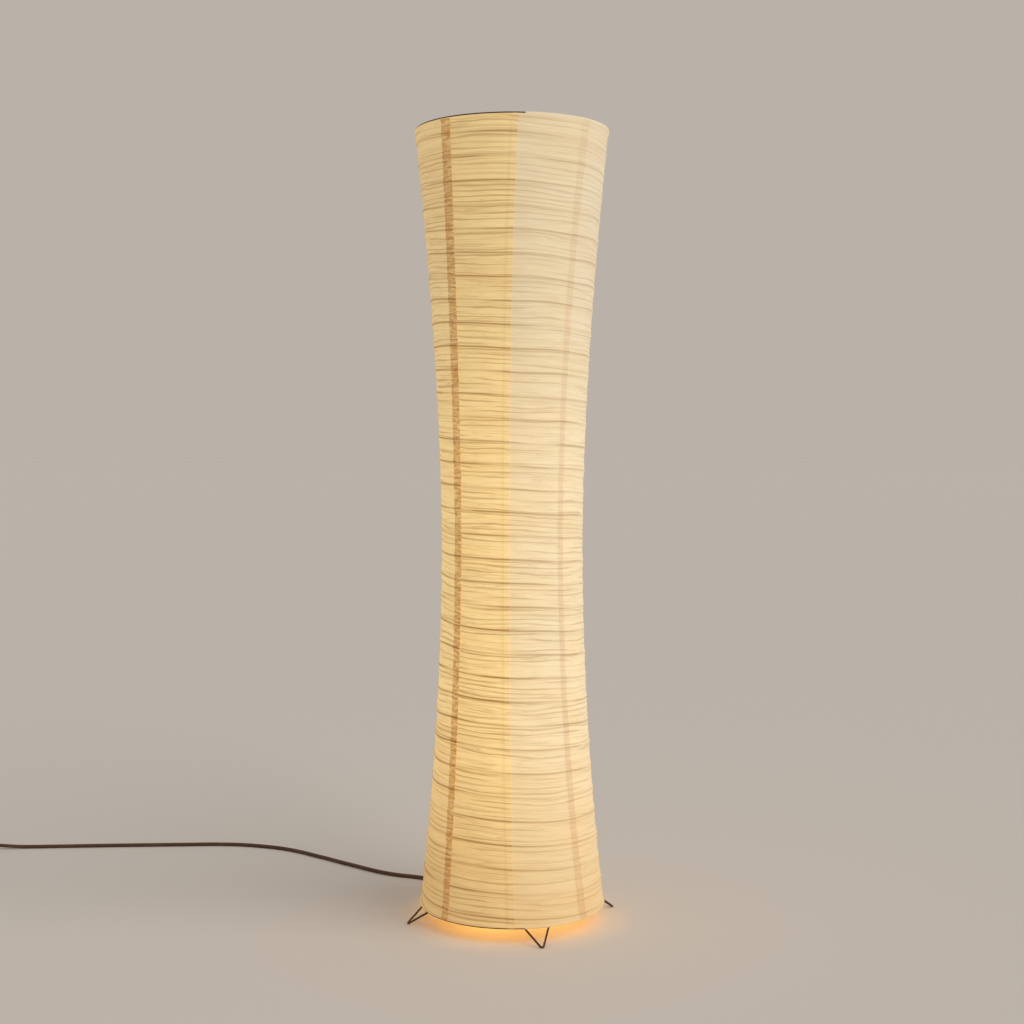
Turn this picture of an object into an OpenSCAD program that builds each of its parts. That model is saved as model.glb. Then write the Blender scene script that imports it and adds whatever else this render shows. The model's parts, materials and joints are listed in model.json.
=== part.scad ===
// Paper lantern floor lamp.
// A waisted column of creased paper, glued in eight gores to one spiral of rib wire,
// is stretched between two wire rings over a steel stand with two lampholders.
// Four hairpin feet stand on the floor. All sizes in millimetres, +Z up, with the
// lamp's axis as the Z axis, the floor at z = 0 and the feet along X and Y.

/* [Shade] */
// Height of the top edge above the floor
total_h = 1200; // [1100:10:1300]
// Outer radius of the paper at the top edge
top_r = 148; // [140:1:160]
// Outer radius of the paper at the waist
waist_r = 108; // [100:1:118]
// Outer radius of the paper at the bottom edge
bottom_r = 140; // [134:1:150]
// Height of the waist above the floor
waist_z = 570; // [480:10:680]
// Thickness of the paper with its glue
paper_t = 0.6; // [0.5:0.1:1]
// Width of an ordinary glued lap, measured at the waist
lap_w = 8.5; // [5:0.5:12]
// Width of the closing lap, measured at the waist
closing_lap_w = 15; // [10:0.5:20]
// Direction of the closing lap round the axis
closing_turn = -155.5; // [-180:0.5:180]
// Diameter of the rib wire
rib_d = 1.8; // [1.4:0.2:2.4]
// Full turns of the rib wire from the bottom ring to the top ring
rib_turns = 34; // [26:1:38]
// Diameter of the wire of the top and bottom rings
ring_d = 3; // [2.6:0.2:4]

/* [Feet] */
// Distance from the axis to the tip of a foot
foot_reach = 162; // [158:1:170]
// Diameter of the foot wire
foot_wire_d = 3; // [2.6:0.2:4]
// Slope of a foot above the floor
foot_slope = 35.5; // [32:0.5:38]
// Half of the angle between the two arms of a foot
foot_half_angle = 25.5; // [20:0.5:30]
// Radius of the bend at the tip, to the middle of the wire
foot_bend_r = 3; // [2.5:0.5:5]
// Depth of the flat on which a tip stands
foot_flat = 0.3; // [0.2:0.05:0.4]

/* [Stand] */
// Radius of the base ring, to the middle of its wire
base_ring_r = 110; // [104:1:116]
// Diameter of the base ring's wire
base_wire_d = 4; // [3:0.5:5]
// Thickness of the bars, braces and bridges
strip_t = 2; // [1.5:0.5:3]
// Width of the base and top bars
bar_w = 16; // [15:1:22]
// Distance from the axis to an upright
upright_x = 60; // [54:1:66]
// Diameter of an upright
upright_d = 5; // [4:0.5:6]
// Depth of the sleeves and sockets that the uprights stand in
sleeve_h = 22; // [14:1:30]
// Wall of the sleeves and sockets
sleeve_wall = 1.7; // [1:0.1:2.5]
// Height of a bridge collar
collar_h = 7; // [6:1:10]
// Radius of a bridge collar
collar_r = 7; // [6:0.5:9]
// Diameter of a collar's grub screw
grub_d = 3; // [2:0.5:4]

/* [Lampholders] */
// Height of the middle of the lower bulb's globe
lower_light_z = 280; // [240:5:320]
// Height of the middle of the upper bulb's globe
upper_light_z = 650; // [600:5:700]
// Outer radius of a holder
holder_r = 19.5; // [18.5:0.5:22]
// Wall of the holder's cap
holder_wall = 2; // [1.5:0.1:3]
// Height of the holder's cap
holder_cap_h = 18; // [16:1:24]
// Thickness of the insulating core
core_h = 9; // [7:1:12]
// Wall of the threaded metal shell
thread_wall = 0.5; // [0.4:0.1:0.8]
// Outer diameter of the threaded nipple
nipple_d = 9.9; // [9:0.1:11]
// Bore of the nipple
nipple_bore_d = 6.8; // [6.6:0.1:7.4]
// Width across the flats of the nipple's nut
nut_af = 14; // [13:1:17]
// Thickness of the nipple's nut
nut_h = 4; // [3:0.5:6]

/* [Bulbs] */
// Radius of the bulb's globe
globe_r = 30; // [27:1:34]
// Distance from the contact to the middle of the globe
globe_rise = 75; // [70:1:80]
// Wall of the glass
glass_t = 1; // [0.8:0.1:1.5]
// Radius of the crests of the bulb's screw cap
cap_crest_r = 13.2; // [12.8:0.1:13.4]
// Depth of the thread on the screw cap
thread_depth = 0.9; // [0.6:0.1:1.1]
// Pitch of the screw thread
thread_pitch = 3.6; // [3.4:0.1:3.8]
// Length of the screw cap from the contact to its rim
screw_cap_h = 27; // [25:1:30]

/* [Cord] */
// Diameter of the supply cord
cord_d = 6; // [5:0.5:6.4]
// Diameter of the lead between the holders
link_d = 5; // [4:0.5:6]
// Middle radius of the coil's turns
coil_mid_r = 33; // [30:1:36]
// Clear space between neighbouring turns
turn_gap = 0.6; // [0.5:0.1:1]
// Thickness of the coil's tie
tie_t = 0.6; // [0.4:0.1:1]
// Width of the coil's tie
tie_w = 5; // [3:0.5:8]

/* [Switch and plug] */
// Length of the switch
switch_l = 64; // [58:1:72]
// Width of the switch
switch_w = 28; // [26:1:32]
// Height of each half of the switch
switch_half_h = 8; // [8:0.5:10]
// Throw of the rocker from on to off
rocker_throw = 16; // [12:1:18]
// Thickness of the plug
plug_t = 13.7; // [13:0.1:15]
// Width of the plug at its face
plug_w = 35; // [33:0.5:37]
// Length of the plug's moulding
plug_l = 37; // [34:1:42]
// Diameter of a plug pin
pin_d = 4; // [3.9:0.1:4.1]
// Length of a plug pin
pin_l = 19; // [18:0.5:20]
// Distance between the plug pins
pin_pitch = 18.6; // [17.5:0.1:19]

/* [Hidden] */

$fn = 48;
wire_fn = 16;
rib_fn = 6;
shade_fn = 96;
dark_wire = [0.2, 0.12, 0.07];
paper_colour = [0.94, 0.84, 0.64];
zinc = [0.72, 0.73, 0.74];
brass = [0.8, 0.62, 0.3];
ivory = [0.9, 0.88, 0.82];
brown_plastic = [0.2, 0.11, 0.06];

// Clearances: between a piece and its seat, round a rod in its hole, and at a weld.
seat_gap = 0.3;
hole_gap = 0.3;
weld_gap = 0.2;
// Round a screw or a nut on its thread, and round the rocker's pin.
thread_gap = 0.15;
pivot_gap = 0.08;
// A short collar, this much thicker than the wire, joins its straight and bent lengths.
collar_proud = 0.12;
collar_l = 1;

// ---- Feet and rings ----
foot_wire_r = foot_wire_d / 2;
ring_wire_r = ring_d / 2;
base_wire_r = base_wire_d / 2;
tip_z = foot_wire_r - foot_flat;
// The two arms would meet in a point this far beyond the bent tip.
apex_beyond = foot_bend_r / sin(foot_half_angle) - foot_bend_r;

// Distance up the foot's slope at which its arms are rho away from the lamp's axis.
function foot_run(rho) =
    let (k = tan(foot_half_angle) ^ 2)
    let (a = cos(foot_slope) ^ 2 + k)
    let (b = k * apex_beyond - foot_reach * cos(foot_slope))
    let (c = foot_reach ^ 2 + k * apex_beyond ^ 2 - rho ^ 2)
    (-b - sqrt(b * b - a * c)) / a;
function foot_height(rho) = tip_z + foot_run(rho) * sin(foot_slope);

// The bottom ring lies across the feet: this far above the arms' middle, straight up.
bottom_ring_r = bottom_r - ring_wire_r;
arm_rise = foot_height(bottom_ring_r - 1) - foot_height(bottom_ring_r);
ring_over_arm = (ring_wire_r + foot_wire_r + seat_gap) * sqrt(1 + arm_rise ^ 2);
bottom_ring_z = foot_height(bottom_ring_r) + ring_over_arm;
base_ring_z = foot_height(base_ring_r);
top_ring_r = top_r - ring_wire_r;
top_ring_z = total_h - ring_wire_r;

// ---- Paper ----
gore_count = 8;
gore_angle = 360 / gore_count;
profile_steps = 24;
paper_bottom_z = bottom_ring_z + ring_wire_r + seat_gap;
paper_top_z = total_h - ring_d - seat_gap;
// Curvature of the outline above and below the waist.
upper_power = 1.7;
lower_power = 1.95;
function paper_r(z) = z > waist_z
    ? waist_r + (top_r - waist_r) * ((z - waist_z) / (total_h - waist_z)) ^ upper_power
    : waist_r + (bottom_r - waist_r) * ((waist_z - z) / (waist_z - bottom_ring_z)) ^ lower_power;
// A lap lies this far proud of the paper under it.
lap_gap = 0.3;
lap_rise = paper_t + lap_gap;
// A gore steps outwards over this angle just before its seam.
step_angle = 0.6;
step_inset_angle = 0.1;
step_shorter = 0.2;
function lap_angle(w) = w / waist_r * 180 / PI;

// ---- Rib wire ----
rib_r = rib_d / 2;
rib_inset = paper_t + 0.4 + rib_r;
rib_bottom_z = bottom_ring_z + ring_wire_r + rib_r + seat_gap;
rib_top_z = top_ring_z - ring_wire_r - rib_r - seat_gap;
half_turns = 2 * rib_turns;
half_rise = (rib_top_z - rib_bottom_z) / half_turns;

// ---- Stand ----
upright_r = upright_d / 2;
sleeve_bore_r = upright_r + hole_gap;
sleeve_r = sleeve_bore_r + sleeve_wall;
base_bar_z = base_ring_z - strip_t / 2;
base_bar_top = base_bar_z + strip_t;
top_bar_z = top_ring_z - strip_t / 2;
upright_top_z = top_bar_z - seat_gap;
bridge_w = 2 * collar_r + 4;
grub_proud = 0.6;

// ---- Lampholders, measured from the bulb's contact ----
lower_tip_z = lower_light_z - globe_rise;
upper_tip_z = upper_light_z - globe_rise;
core_top = -4;
core_bottom = core_top - core_h;
core_r = holder_r - holder_wall - hole_gap;
thread_bore_r = cap_crest_r + hole_gap;
thread_r = thread_bore_r + thread_wall;
holder_rim = screw_cap_h - 2;
cap_bottom = core_bottom - holder_cap_h;
bridge_bottom = cap_bottom - strip_t;
nipple_r = nipple_d / 2;
nipple_bottom = bridge_bottom - nut_h - 4;
nipple_top = cap_bottom + 9;
cap_foot_r = holder_r * 0.64;
lead_hole_rise = 11;

// ---- Cord ----
cord_r = cord_d / 2;
link_r = link_d / 2;
grommet_neck_r = cord_r + 3;
grommet_flange_r = grommet_neck_r + 2;
grommet_flange_t = 1.3;
grommet_bottom = base_bar_z - strip_t - grommet_flange_t - weld_gap;
grommet_top = base_bar_top + grommet_flange_t + weld_gap;
switch_x = -840;
switch_y = 622;
switch_z = switch_half_h;
plug_x = -906;
plug_face_y = 421;
plug_z = plug_t / 2 + 0.15;
coil_x = -880;
coil_y = 555;
coil_turns = 5;
turn_pitch = cord_d + turn_gap;
coil_in_r = coil_mid_r - turn_pitch * coil_turns / 4;
coil_out_r = coil_in_r + turn_pitch * coil_turns / 2;
// The tie passes under the turns, so they lie this high.
coil_z = cord_r + tie_t + seat_gap;
coil_z2 = coil_z + turn_pitch;
coil_entry = [coil_x - coil_out_r, coil_y + cord_d, coil_z];
coil_exit = [coil_x - coil_out_r, coil_y - cord_d, coil_z2];
cord_sides = 10;
lay_z = cord_r + 0.1;
ring_step = 19;

// Route of the cord: down out of the grommet, then over the floor to the switch.
floor_route = [
    [0, 0, grommet_bottom], [0, 0, 33], [0, 0, 26], [-1, 3, 15], [-3, 12, 6.4], [-7, 25, 3.7],
    [-14, 50, lay_z], [-22, 84, lay_z], [-33, 118, lay_z], [-45, 152, lay_z],
    [-59, 184, lay_z], [-76, 211, lay_z], [-98, 233, lay_z], [-126, 254, lay_z],
    [-148, 276, lay_z], [-166, 300, lay_z], [-184, 327, lay_z], [-203, 355, lay_z],
    [-222, 385, lay_z], [-242, 414, lay_z], [-261, 442, lay_z], [-282, 467, lay_z],
    [-304, 487, lay_z], [-327, 503, lay_z], [-350, 517, lay_z], [-375, 528, lay_z],
    [-409, 539, lay_z], [-444, 547, lay_z], [-479, 555, lay_z], [-514, 563, lay_z],
    [-550, 571, lay_z], [-586, 579, lay_z], [-624, 587, lay_z], [-662, 595, lay_z],
    [-700, 603, lay_z], [-738, 611, 3.5], [-772, 618, 6], [-790, 621, 7.6],
    [switch_x + switch_l / 2, switch_y, switch_z]
];
// Route from the switch to the coil.
switch_tail_route = [
    [switch_x - switch_l / 2, switch_y, switch_z], [-886, 622, 7.2], [-899, 619, 6.2],
    [-911, 612, 5.2], [-918, 600, 4.4], [-921, 587, 4], [coil_entry.x, 574, coil_z], coil_entry
];
// Route from the coil down to the plug, which points away from the cord.
plug_tail_route = [
    coil_exit, [-921, 535, 9.6], [-919.5, 521, 7.4], [-916.5, 506, 5.4], [-912, 491, 4.7],
    [-908, 476, 5.6], [-906.4, 466, 6.6], [plug_x, plug_face_y + plug_l, plug_z]
];

// ---- Curves ----
function unit(v) = v / norm(v);
// Point at t between b and c on the smooth curve through a, b, c and d.
function spline_at(a, b, c, d, t) =
    (2 * b + (c - a) * t + (2 * a - 5 * b + 4 * c - d) * t ^ 2 + (3 * b - a - 3 * c + d) * t ^ 3) / 2;
// The smooth curve through all points of p, in steps of about step.
function smooth_path(p, step) = [
    for (i = [0 : len(p) - 2])
        let (before = i == 0 ? 2 * p[0] - p[1] : p[i - 1])
        let (after = i == len(p) - 2 ? 2 * p[i + 1] - p[i] : p[i + 2])
        let (n = max(1, round(norm(p[i + 1] - p[i]) / step)))
        for (j = [0 : n - 1]) spline_at(before, p[i], p[i + 1], after, j / n),
    p[len(p) - 1]
];
function path_length(p) = [for (i = [1 : len(p) - 1]) norm(p[i] - p[i - 1])] * [for (i = [1 : len(p) - 1]) 1];
function tangents(p) = [
    for (i = [0 : len(p) - 1]) unit(p[min(i + 1, len(p) - 1)] - p[max(i - 1, 0)])
];
// One side direction per tangent, carried along without twist.
function carried(t, first) = [
    for (i = 0, s = unit(first - (first * t[0]) * t[0]); i < len(t);
         i = i + 1, s = i < len(t) ? unit(s - (s * t[i]) * t[i]) : s) s
];

// A closed tube of the given sides along a path.
module swept_tube(path, r, sides, first_side) {
    t = tangents(path);
    s = carried(t, first_side);
    last = len(path) - 1;
    points = [
        for (i = [0 : last], j = [0 : sides - 1])
            let (a = 360 * j / sides)
            path[i] + r * (cos(a) * s[i] + sin(a) * cross(t[i], s[i]))
    ];
    near_faces = [
        for (i = [0 : last - 1], j = [0 : sides - 1])
            [i * sides + j, (i + 1) * sides + j, i * sides + (j + 1) % sides]
    ];
    far_faces = [
        for (i = [0 : last - 1], j = [0 : sides - 1])
            [i * sides + (j + 1) % sides, (i + 1) * sides + j, (i + 1) * sides + (j + 1) % sides]
    ];
    start_cap = [for (j = [1 : sides - 2]) [0, j, j + 1]];
    end_cap = [for (j = [1 : sides - 2]) [last * sides, last * sides + j + 1, last * sides + j]];
    polyhedron(points = points, faces = concat(near_faces, far_faces, start_cap, end_cap));
}

// ---- Shared solids ----
module torus(ring_r, wire_r) {
    rotate_extrude()
        translate([ring_r, 0])
            circle(r = wire_r, $fn = wire_fn);
}

module pipe(outer_r, bore_r, h) {
    difference() {
        cylinder(r = outer_r, h = h);
        translate([0, 0, -1])
            cylinder(r = bore_r, h = h + 2);
    }
}

function wrapped(a) = a > 180 ? a - 360 : a < -180 ? a + 360 : a;
function heading(a, b) = atan2(b.y - a.y, b.x - a.x);
function corner_turn(p, i) = wrapped(heading(p[i], p[i + 1]) - heading(p[i - 1], p[i]));
function corner_trim(p, i, bend) =
    i == 0 || i == len(p) - 1 ? 0 : bend * tan(abs(corner_turn(p, i)) / 2);

// The collar over a joint in wire that runs along X there.
module wire_collar(wire_r) {
    rotate([0, 90, 0])
        cylinder(r = wire_r + collar_proud, h = collar_l, center = true, $fn = 24);
}

// Round wire along a flat path in the XY plane, bent at each inner point.
module bent_wire(p, wire_r, bend) {
    for (i = [0 : len(p) - 2]) {
        start = corner_trim(p, i, bend);
        run = norm(p[i + 1] - p[i]) - start - corner_trim(p, i + 1, bend);
        translate(p[i])
            rotate([0, 0, heading(p[i], p[i + 1])])
                translate([start, 0, 0])
                    rotate([0, 90, 0])
                        cylinder(r = wire_r, h = run, $fn = wire_fn);
    }
    for (i = [1 : len(p) - 2]) {
        turn = corner_turn(p, i);
        side = sign(turn);
        translate(p[i])
            rotate([0, 0, heading(p[i - 1], p[i])])
                translate([-corner_trim(p, i, bend), side * bend, 0])
                    rotate([0, 0, turn > 0 ? -90 : 90 + turn])
                        rotate_extrude(angle = abs(turn))
                            translate([bend, 0])
                                circle(r = wire_r, $fn = wire_fn);
        trim = corner_trim(p, i, bend);
        for (to = [i - 1, i + 1])
            translate(p[i] + trim * (p[to] - p[i]) / norm(p[to] - p[i]))
                rotate([0, 0, heading(p[i], p[to])])
                    wire_collar(wire_r);
    }
}

// Rectangle with round corners, about its middle.
module round_plate(l, w, corner) {
    square([l - 2 * corner, w], center = true);
    square([l, w - 2 * corner], center = true);
    for (x = [-1, 1], y = [-1, 1])
        translate([x * (l / 2 - corner), y * (w / 2 - corner)])
            circle(r = corner);
}

// ---- Feet ----
module foot(turn) {
    arm_run = foot_run(base_ring_r);
    arm_side = (arm_run + apex_beyond) * tan(foot_half_angle);
    color(dark_wire)
        difference() {
            rotate([0, 0, turn])
                translate([foot_reach, 0, tip_z])
                    rotate([0, 180 + foot_slope, 0])
                        bent_wire([[arm_run, arm_side], [-apex_beyond, 0], [arm_run, -arm_side]],
                                  foot_wire_r, foot_bend_r);
            rotate([0, 0, turn])
                translate([foot_reach - 10, -10, -5])
                    cube([20, 20, 5]);
            translate([0, 0, base_ring_z])
                torus(base_ring_r, base_wire_r + weld_gap);
        }
}
module left_foot() { foot(180); }
module front_foot() { foot(-90); }
module right_foot() { foot(0); }
module back_foot() { foot(90); }

// ---- Stand ----
module base_ring() {
    color(dark_wire)
        translate([0, 0, base_ring_z])
            torus(base_ring_r, base_wire_r);
}

// A strip across a ring, its ends shaped to the ring's wire.
module ring_strip(turn, z, ring_r, wire_r, ring_z, hole_r) {
    difference() {
        rotate([0, 0, turn])
            translate([-ring_r, -bar_w / 2, z])
                cube([2 * ring_r, bar_w, strip_t]);
        translate([0, 0, ring_z])
            torus(ring_r, wire_r + weld_gap);
        // The ends stop at the wire and leave nothing outside it.
        translate([0, 0, z - 1])
            difference() {
                cylinder(r = ring_r + bar_w, h = strip_t + 2);
                translate([0, 0, -1])
                    cylinder(r = ring_r - 0.3 * wire_r, h = strip_t + 4);
            }
        if (hole_r > 0)
            translate([0, 0, z - 1])
                cylinder(r = hole_r, h = strip_t + 2);
    }
}

module base_bar() {
    color(zinc)
        ring_strip(0, base_bar_z, base_ring_r, base_wire_r, base_ring_z, grommet_neck_r + hole_gap);
}

module base_brace() {
    color(zinc)
        ring_strip(90, base_bar_z - strip_t, base_ring_r, base_wire_r, base_ring_z,
                   grommet_neck_r + hole_gap);
}

module at_uprights() {
    for (side = [-1, 1])
        translate([side * upright_x, 0, 0])
            children();
}

module upright_sleeves() {
    color(zinc)
        at_uprights()
            translate([0, 0, base_bar_top])
                pipe(sleeve_r, sleeve_bore_r, sleeve_h);
}

module upright(side) {
    color(zinc)
        translate([side * upright_x, 0, base_bar_top])
            cylinder(r = upright_r, h = upright_top_z - base_bar_top);
}
module left_upright() { upright(-1); }
module right_upright() { upright(1); }

module bridge(tip_z) {
    color(zinc)
        translate([0, 0, tip_z + bridge_bottom])
            difference() {
                linear_extrude(height = strip_t)
                    round_plate(2 * upright_x + bridge_w, bridge_w, bridge_w / 2 - 0.1);
                translate([0, 0, -1])
                    cylinder(r = nipple_r + hole_gap, h = strip_t + 2);
                at_uprights()
                    translate([0, 0, -1])
                        cylinder(r = sleeve_bore_r, h = strip_t + 2);
            }
}
module lower_bridge() { bridge(lower_tip_z); }
module upper_bridge() { bridge(upper_tip_z); }

module at_holders() {
    for (z = [lower_tip_z, upper_tip_z])
        translate([0, 0, z])
            children();
}

module bridge_collars() {
    color(zinc)
        at_holders()
            at_uprights()
                translate([0, 0, bridge_bottom - collar_h])
                    difference() {
                        pipe(collar_r, sleeve_bore_r, collar_h);
                        translate([0, 0, collar_h / 2])
                            rotate([90, 0, 0])
                                cylinder(r = grub_d / 2 + thread_gap, h = collar_r + 1);
                    }
}

module grub_screws() {
    color(zinc)
        at_holders()
            at_uprights()
                translate([0, -upright_r - thread_gap, bridge_bottom - collar_h / 2])
                    rotate([90, 0, 0])
                        cylinder(r = grub_d / 2, h = collar_r - upright_r + grub_proud);
}

// ---- Lampholders ----
module nipples() {
    color(brass)
        at_holders()
            translate([0, 0, nipple_bottom])
                pipe(nipple_r, nipple_bore_d / 2, nipple_top - nipple_bottom);
}

module nipple_nuts() {
    color(brass)
        at_holders()
            translate([0, 0, bridge_bottom - nut_h])
                difference() {
                    cylinder(r = nut_af / 2 / cos(30), h = nut_h, $fn = 6);
                    translate([0, 0, -1])
                        cylinder(r = nipple_r + thread_gap, h = nut_h + 2);
                }
}

module holder_cap(tip_z, side_hole) {
    shoulder = holder_cap_h * 0.6;
    floor_t = holder_wall;
    color(ivory)
        translate([0, 0, tip_z + cap_bottom])
            difference() {
                rotate_extrude()
                    polygon([
                        [nipple_r + weld_gap, 0], [cap_foot_r, 0], [holder_r - 2.5, shoulder * 0.45],
                        [holder_r - 0.6, shoulder * 0.8], [holder_r, shoulder],
                        [holder_r, holder_cap_h], [holder_r - holder_wall, holder_cap_h],
                        [holder_r - holder_wall, shoulder], [holder_r - holder_wall - 2.5, shoulder * 0.5],
                        [cap_foot_r - 1, floor_t], [nipple_r + weld_gap, floor_t]
                    ]);
                if (side_hole)
                    translate([0, 0, lead_hole_rise])
                        rotate([0, 90, 0])
                            cylinder(r = link_r + hole_gap, h = holder_r + 1);
            }
}
module lower_holder_cap() { holder_cap(lower_tip_z, true); }
module upper_holder_cap() { holder_cap(upper_tip_z, false); }

module holder_shell(tip_z) {
    bore_r = thread_r + hole_gap;
    color(ivory)
        translate([0, 0, tip_z])
            rotate_extrude()
                polygon([
                    [core_r + hole_gap, core_bottom + weld_gap], [holder_r, core_bottom + weld_gap],
                    [holder_r, holder_rim - 9], [holder_r - 0.8, holder_rim - 8],
                    [holder_r - 0.8, holder_rim - 1], [holder_r - 1.8, holder_rim],
                    [bore_r + 0.8, holder_rim], [bore_r, holder_rim - 0.8],
                    [bore_r, core_top + weld_gap], [core_r + hole_gap, core_top + weld_gap]
                ]);
}
module lower_holder_shell() { holder_shell(lower_tip_z); }
module upper_holder_shell() { holder_shell(upper_tip_z); }

module holder_cores() {
    color([0.95, 0.94, 0.9])
        at_holders()
            difference() {
                translate([0, 0, core_bottom])
                    cylinder(r = core_r, h = core_h);
                for (side = [-1, 1])
                    translate([0, side * core_r * 0.55, core_bottom - 1])
                        cylinder(r = 2, h = core_h + 2);
            }
}

module thread_shells() {
    color(brass)
        at_holders()
            translate([0, 0, core_top])
                pipe(thread_r, thread_bore_r, holder_rim - 2 - core_top);
}

module centre_contacts() {
    contact_h = -core_top - seat_gap;
    color(brass)
        at_holders()
            translate([0, 0, core_top]) {
                translate([-7, -3, 0])
                    cube([14, 6, 0.8]);
                cylinder(r = 3, h = contact_h);
            }
}

// ---- Leads inside the lamp ----
module supply_lead() {
    color(brown_plastic)
        translate([0, 0, grommet_bottom])
            cylinder(r = cord_r, h = lower_tip_z + nipple_top - 1 - grommet_bottom);
}

// From the lower cap's side, up along the right upright, and into the upper nipple.
module link_lead() {
    run_x = upright_x - upright_r - link_r - seat_gap;
    out_z = lower_tip_z + cap_bottom + lead_hole_rise;
    in_z = upper_tip_z + nipple_bottom - 22;
    color(brown_plastic)
        rotate([90, 0, 0])
            bent_wire([
                [holder_r - holder_wall - 4, out_z], [run_x, out_z], [run_x, in_z], [0, in_z],
                [0, upper_tip_z + nipple_top - 1]
            ], link_r, 14);
}

module lead_clips() {
    clip_h = 6;
    clip_wall = 1;
    run_x = upright_x - upright_r - link_r - seat_gap;
    low_z = lower_tip_z + 30;
    high_z = upper_tip_z + nipple_bottom - 60;
    color(ivory)
        for (i = [0 : 2])
            translate([0, 0, low_z + (high_z - low_z) * i / 2])
                linear_extrude(height = clip_h)
                    difference() {
                        lead_and_rod(run_x, clip_wall + weld_gap);
                        lead_and_rod(run_x, weld_gap);
                    }
}

// Section of the lead and the upright side by side, grown by extra.
module lead_and_rod(run_x, extra) {
    half = min(link_r, upright_r) + extra;
    translate([run_x, 0])
        circle(r = link_r + extra);
    translate([upright_x, 0])
        circle(r = upright_r + extra);
    translate([run_x, -half])
        square([upright_x - run_x, 2 * half]);
}

module cord_grommet() {
    color([0.1, 0.1, 0.1])
        rotate_extrude()
            polygon([
                [cord_r + weld_gap, grommet_bottom], [grommet_flange_r - 0.5, grommet_bottom],
                [grommet_flange_r, grommet_bottom + 0.5],
                [grommet_flange_r, grommet_bottom + grommet_flange_t],
                [grommet_neck_r, grommet_bottom + grommet_flange_t],
                [grommet_neck_r, grommet_top - grommet_flange_t],
                [grommet_flange_r, grommet_top - grommet_flange_t],
                [grommet_flange_r, grommet_top - 0.5], [grommet_flange_r - 0.5, grommet_top],
                [cord_r + weld_gap, grommet_top]
            ]);
}

// Stops the lead from being pulled down through the grommet.
module cord_clamp() {
    clamp_h = 12;
    clamp_r = cord_r + 4;
    color(ivory)
        translate([0, 0, grommet_top])
            difference() {
                pipe(clamp_r, cord_r + weld_gap, clamp_h);
                translate([0, 0, clamp_h / 2])
                    rotate([90, 0, 0])
                        cylinder(r = grub_d / 2, h = clamp_r + 1);
            }
}

// ---- Cord ----
module floor_cord() {
    color(brown_plastic)
        swept_tube(smooth_path(floor_route, ring_step), cord_r, cord_sides, [1, 0, 0]);
}

module switch_tail() {
    color(brown_plastic)
        swept_tube(smooth_path(switch_tail_route, ring_step), cord_r, cord_sides, [0, 0, 1]);
}

module plug_tail() {
    color(brown_plastic)
        swept_tube(smooth_path(plug_tail_route, ring_step), cord_r, cord_sides, [0, 0, 1]);
}

// The turns spiral in on the lower layer, climb in the innermost half turn, and spiral out.
function coil_r(t) =
    let (s = abs(t - coil_turns / 2))
    coil_in_r + turn_pitch * (s < 0.25 ? 2 * s ^ 2 + 0.125 : s);
function eased(u) = u <= 0 ? 0 : u >= 1 ? 1 : u * u * (3 - 2 * u);
function coil_height(t) = coil_z + turn_pitch * eased((t - coil_turns / 2 + 0.25) / 0.5);
function coil_point(t) =
    [coil_x + coil_r(t) * cos(180 + 360 * t), coil_y + coil_r(t) * sin(180 + 360 * t), coil_height(t)];
rings_a_turn = 24;
coil_path = concat(
    [coil_entry],
    [for (i = [0 : coil_turns * rings_a_turn]) coil_point(i / rings_a_turn)],
    [coil_exit]
);
coil_self_gap = min([
    for (i = [0 : len(coil_path) - 1 - rings_a_turn / 2], j = [i + rings_a_turn / 2 : len(coil_path) - 1])
        norm(coil_path[i] - coil_path[j]) - cord_d
]);
union() {  // cord_coil
    echo(coil_least_gap_mm = coil_self_gap);
    echo(floor_cord_mm = path_length(smooth_path(floor_route, 6)));
    echo(switch_tail_mm = path_length(smooth_path(switch_tail_route, 6)));
    echo(coil_mm = path_length(coil_path));
    echo(plug_tail_mm = path_length(smooth_path(plug_tail_route, 6)));
}

module cord_coil() {
    color(brown_plastic)
        swept_tube(coil_path, cord_r, 6, [0, 0, 1]);
}

// A flat band round all the turns, at the side of the coil nearest the plug.
module coil_tie() {
    inner_r = coil_r(coil_turns / 2 - 0.25) - cord_r - seat_gap;
    outer_r = coil_r(0.25) + cord_r + seat_gap;
    inner_h = 2 * cord_r + turn_pitch + 2 * seat_gap;
    color(ivory)
        translate([coil_x, coil_y, tie_t + inner_h / 2])
            rotate([90, 0, -90])
                translate([(inner_r + outer_r) / 2, 0, -tie_w / 2])
                    linear_extrude(height = tie_w)
                        difference() {
                            round_plate(outer_r - inner_r + 2 * tie_t, inner_h + 2 * tie_t, 2 + tie_t);
                            round_plate(outer_r - inner_r, inner_h, 2);
                        }
}

// ---- Switch ----
switch_corner = 9;
rocker_l = 18.4;
rocker_w = 10;
rocker_pin_r = 1.2;
rocker_pin_l = rocker_w + 2.4;
rocker_rise = 4.6;
screw_x = switch_l / 2 - 9;
screw_head_r = 2.6;
screw_shank_r = 1.4;
module at_switch() {
    translate([switch_x, switch_y, 0])
        children();
}

module switch_base() {
    color(brown_plastic)
        at_switch()
            difference() {
                linear_extrude(height = switch_half_h)
                    round_plate(switch_l, switch_w, switch_corner);
                for (side = [-1, 1])
                    translate([side * screw_x, 0, -1]) {
                        cylinder(r = screw_head_r + thread_gap, h = 3.2);
                        cylinder(r = screw_shank_r + thread_gap, h = switch_half_h + 2);
                    }
            }
}

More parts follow.
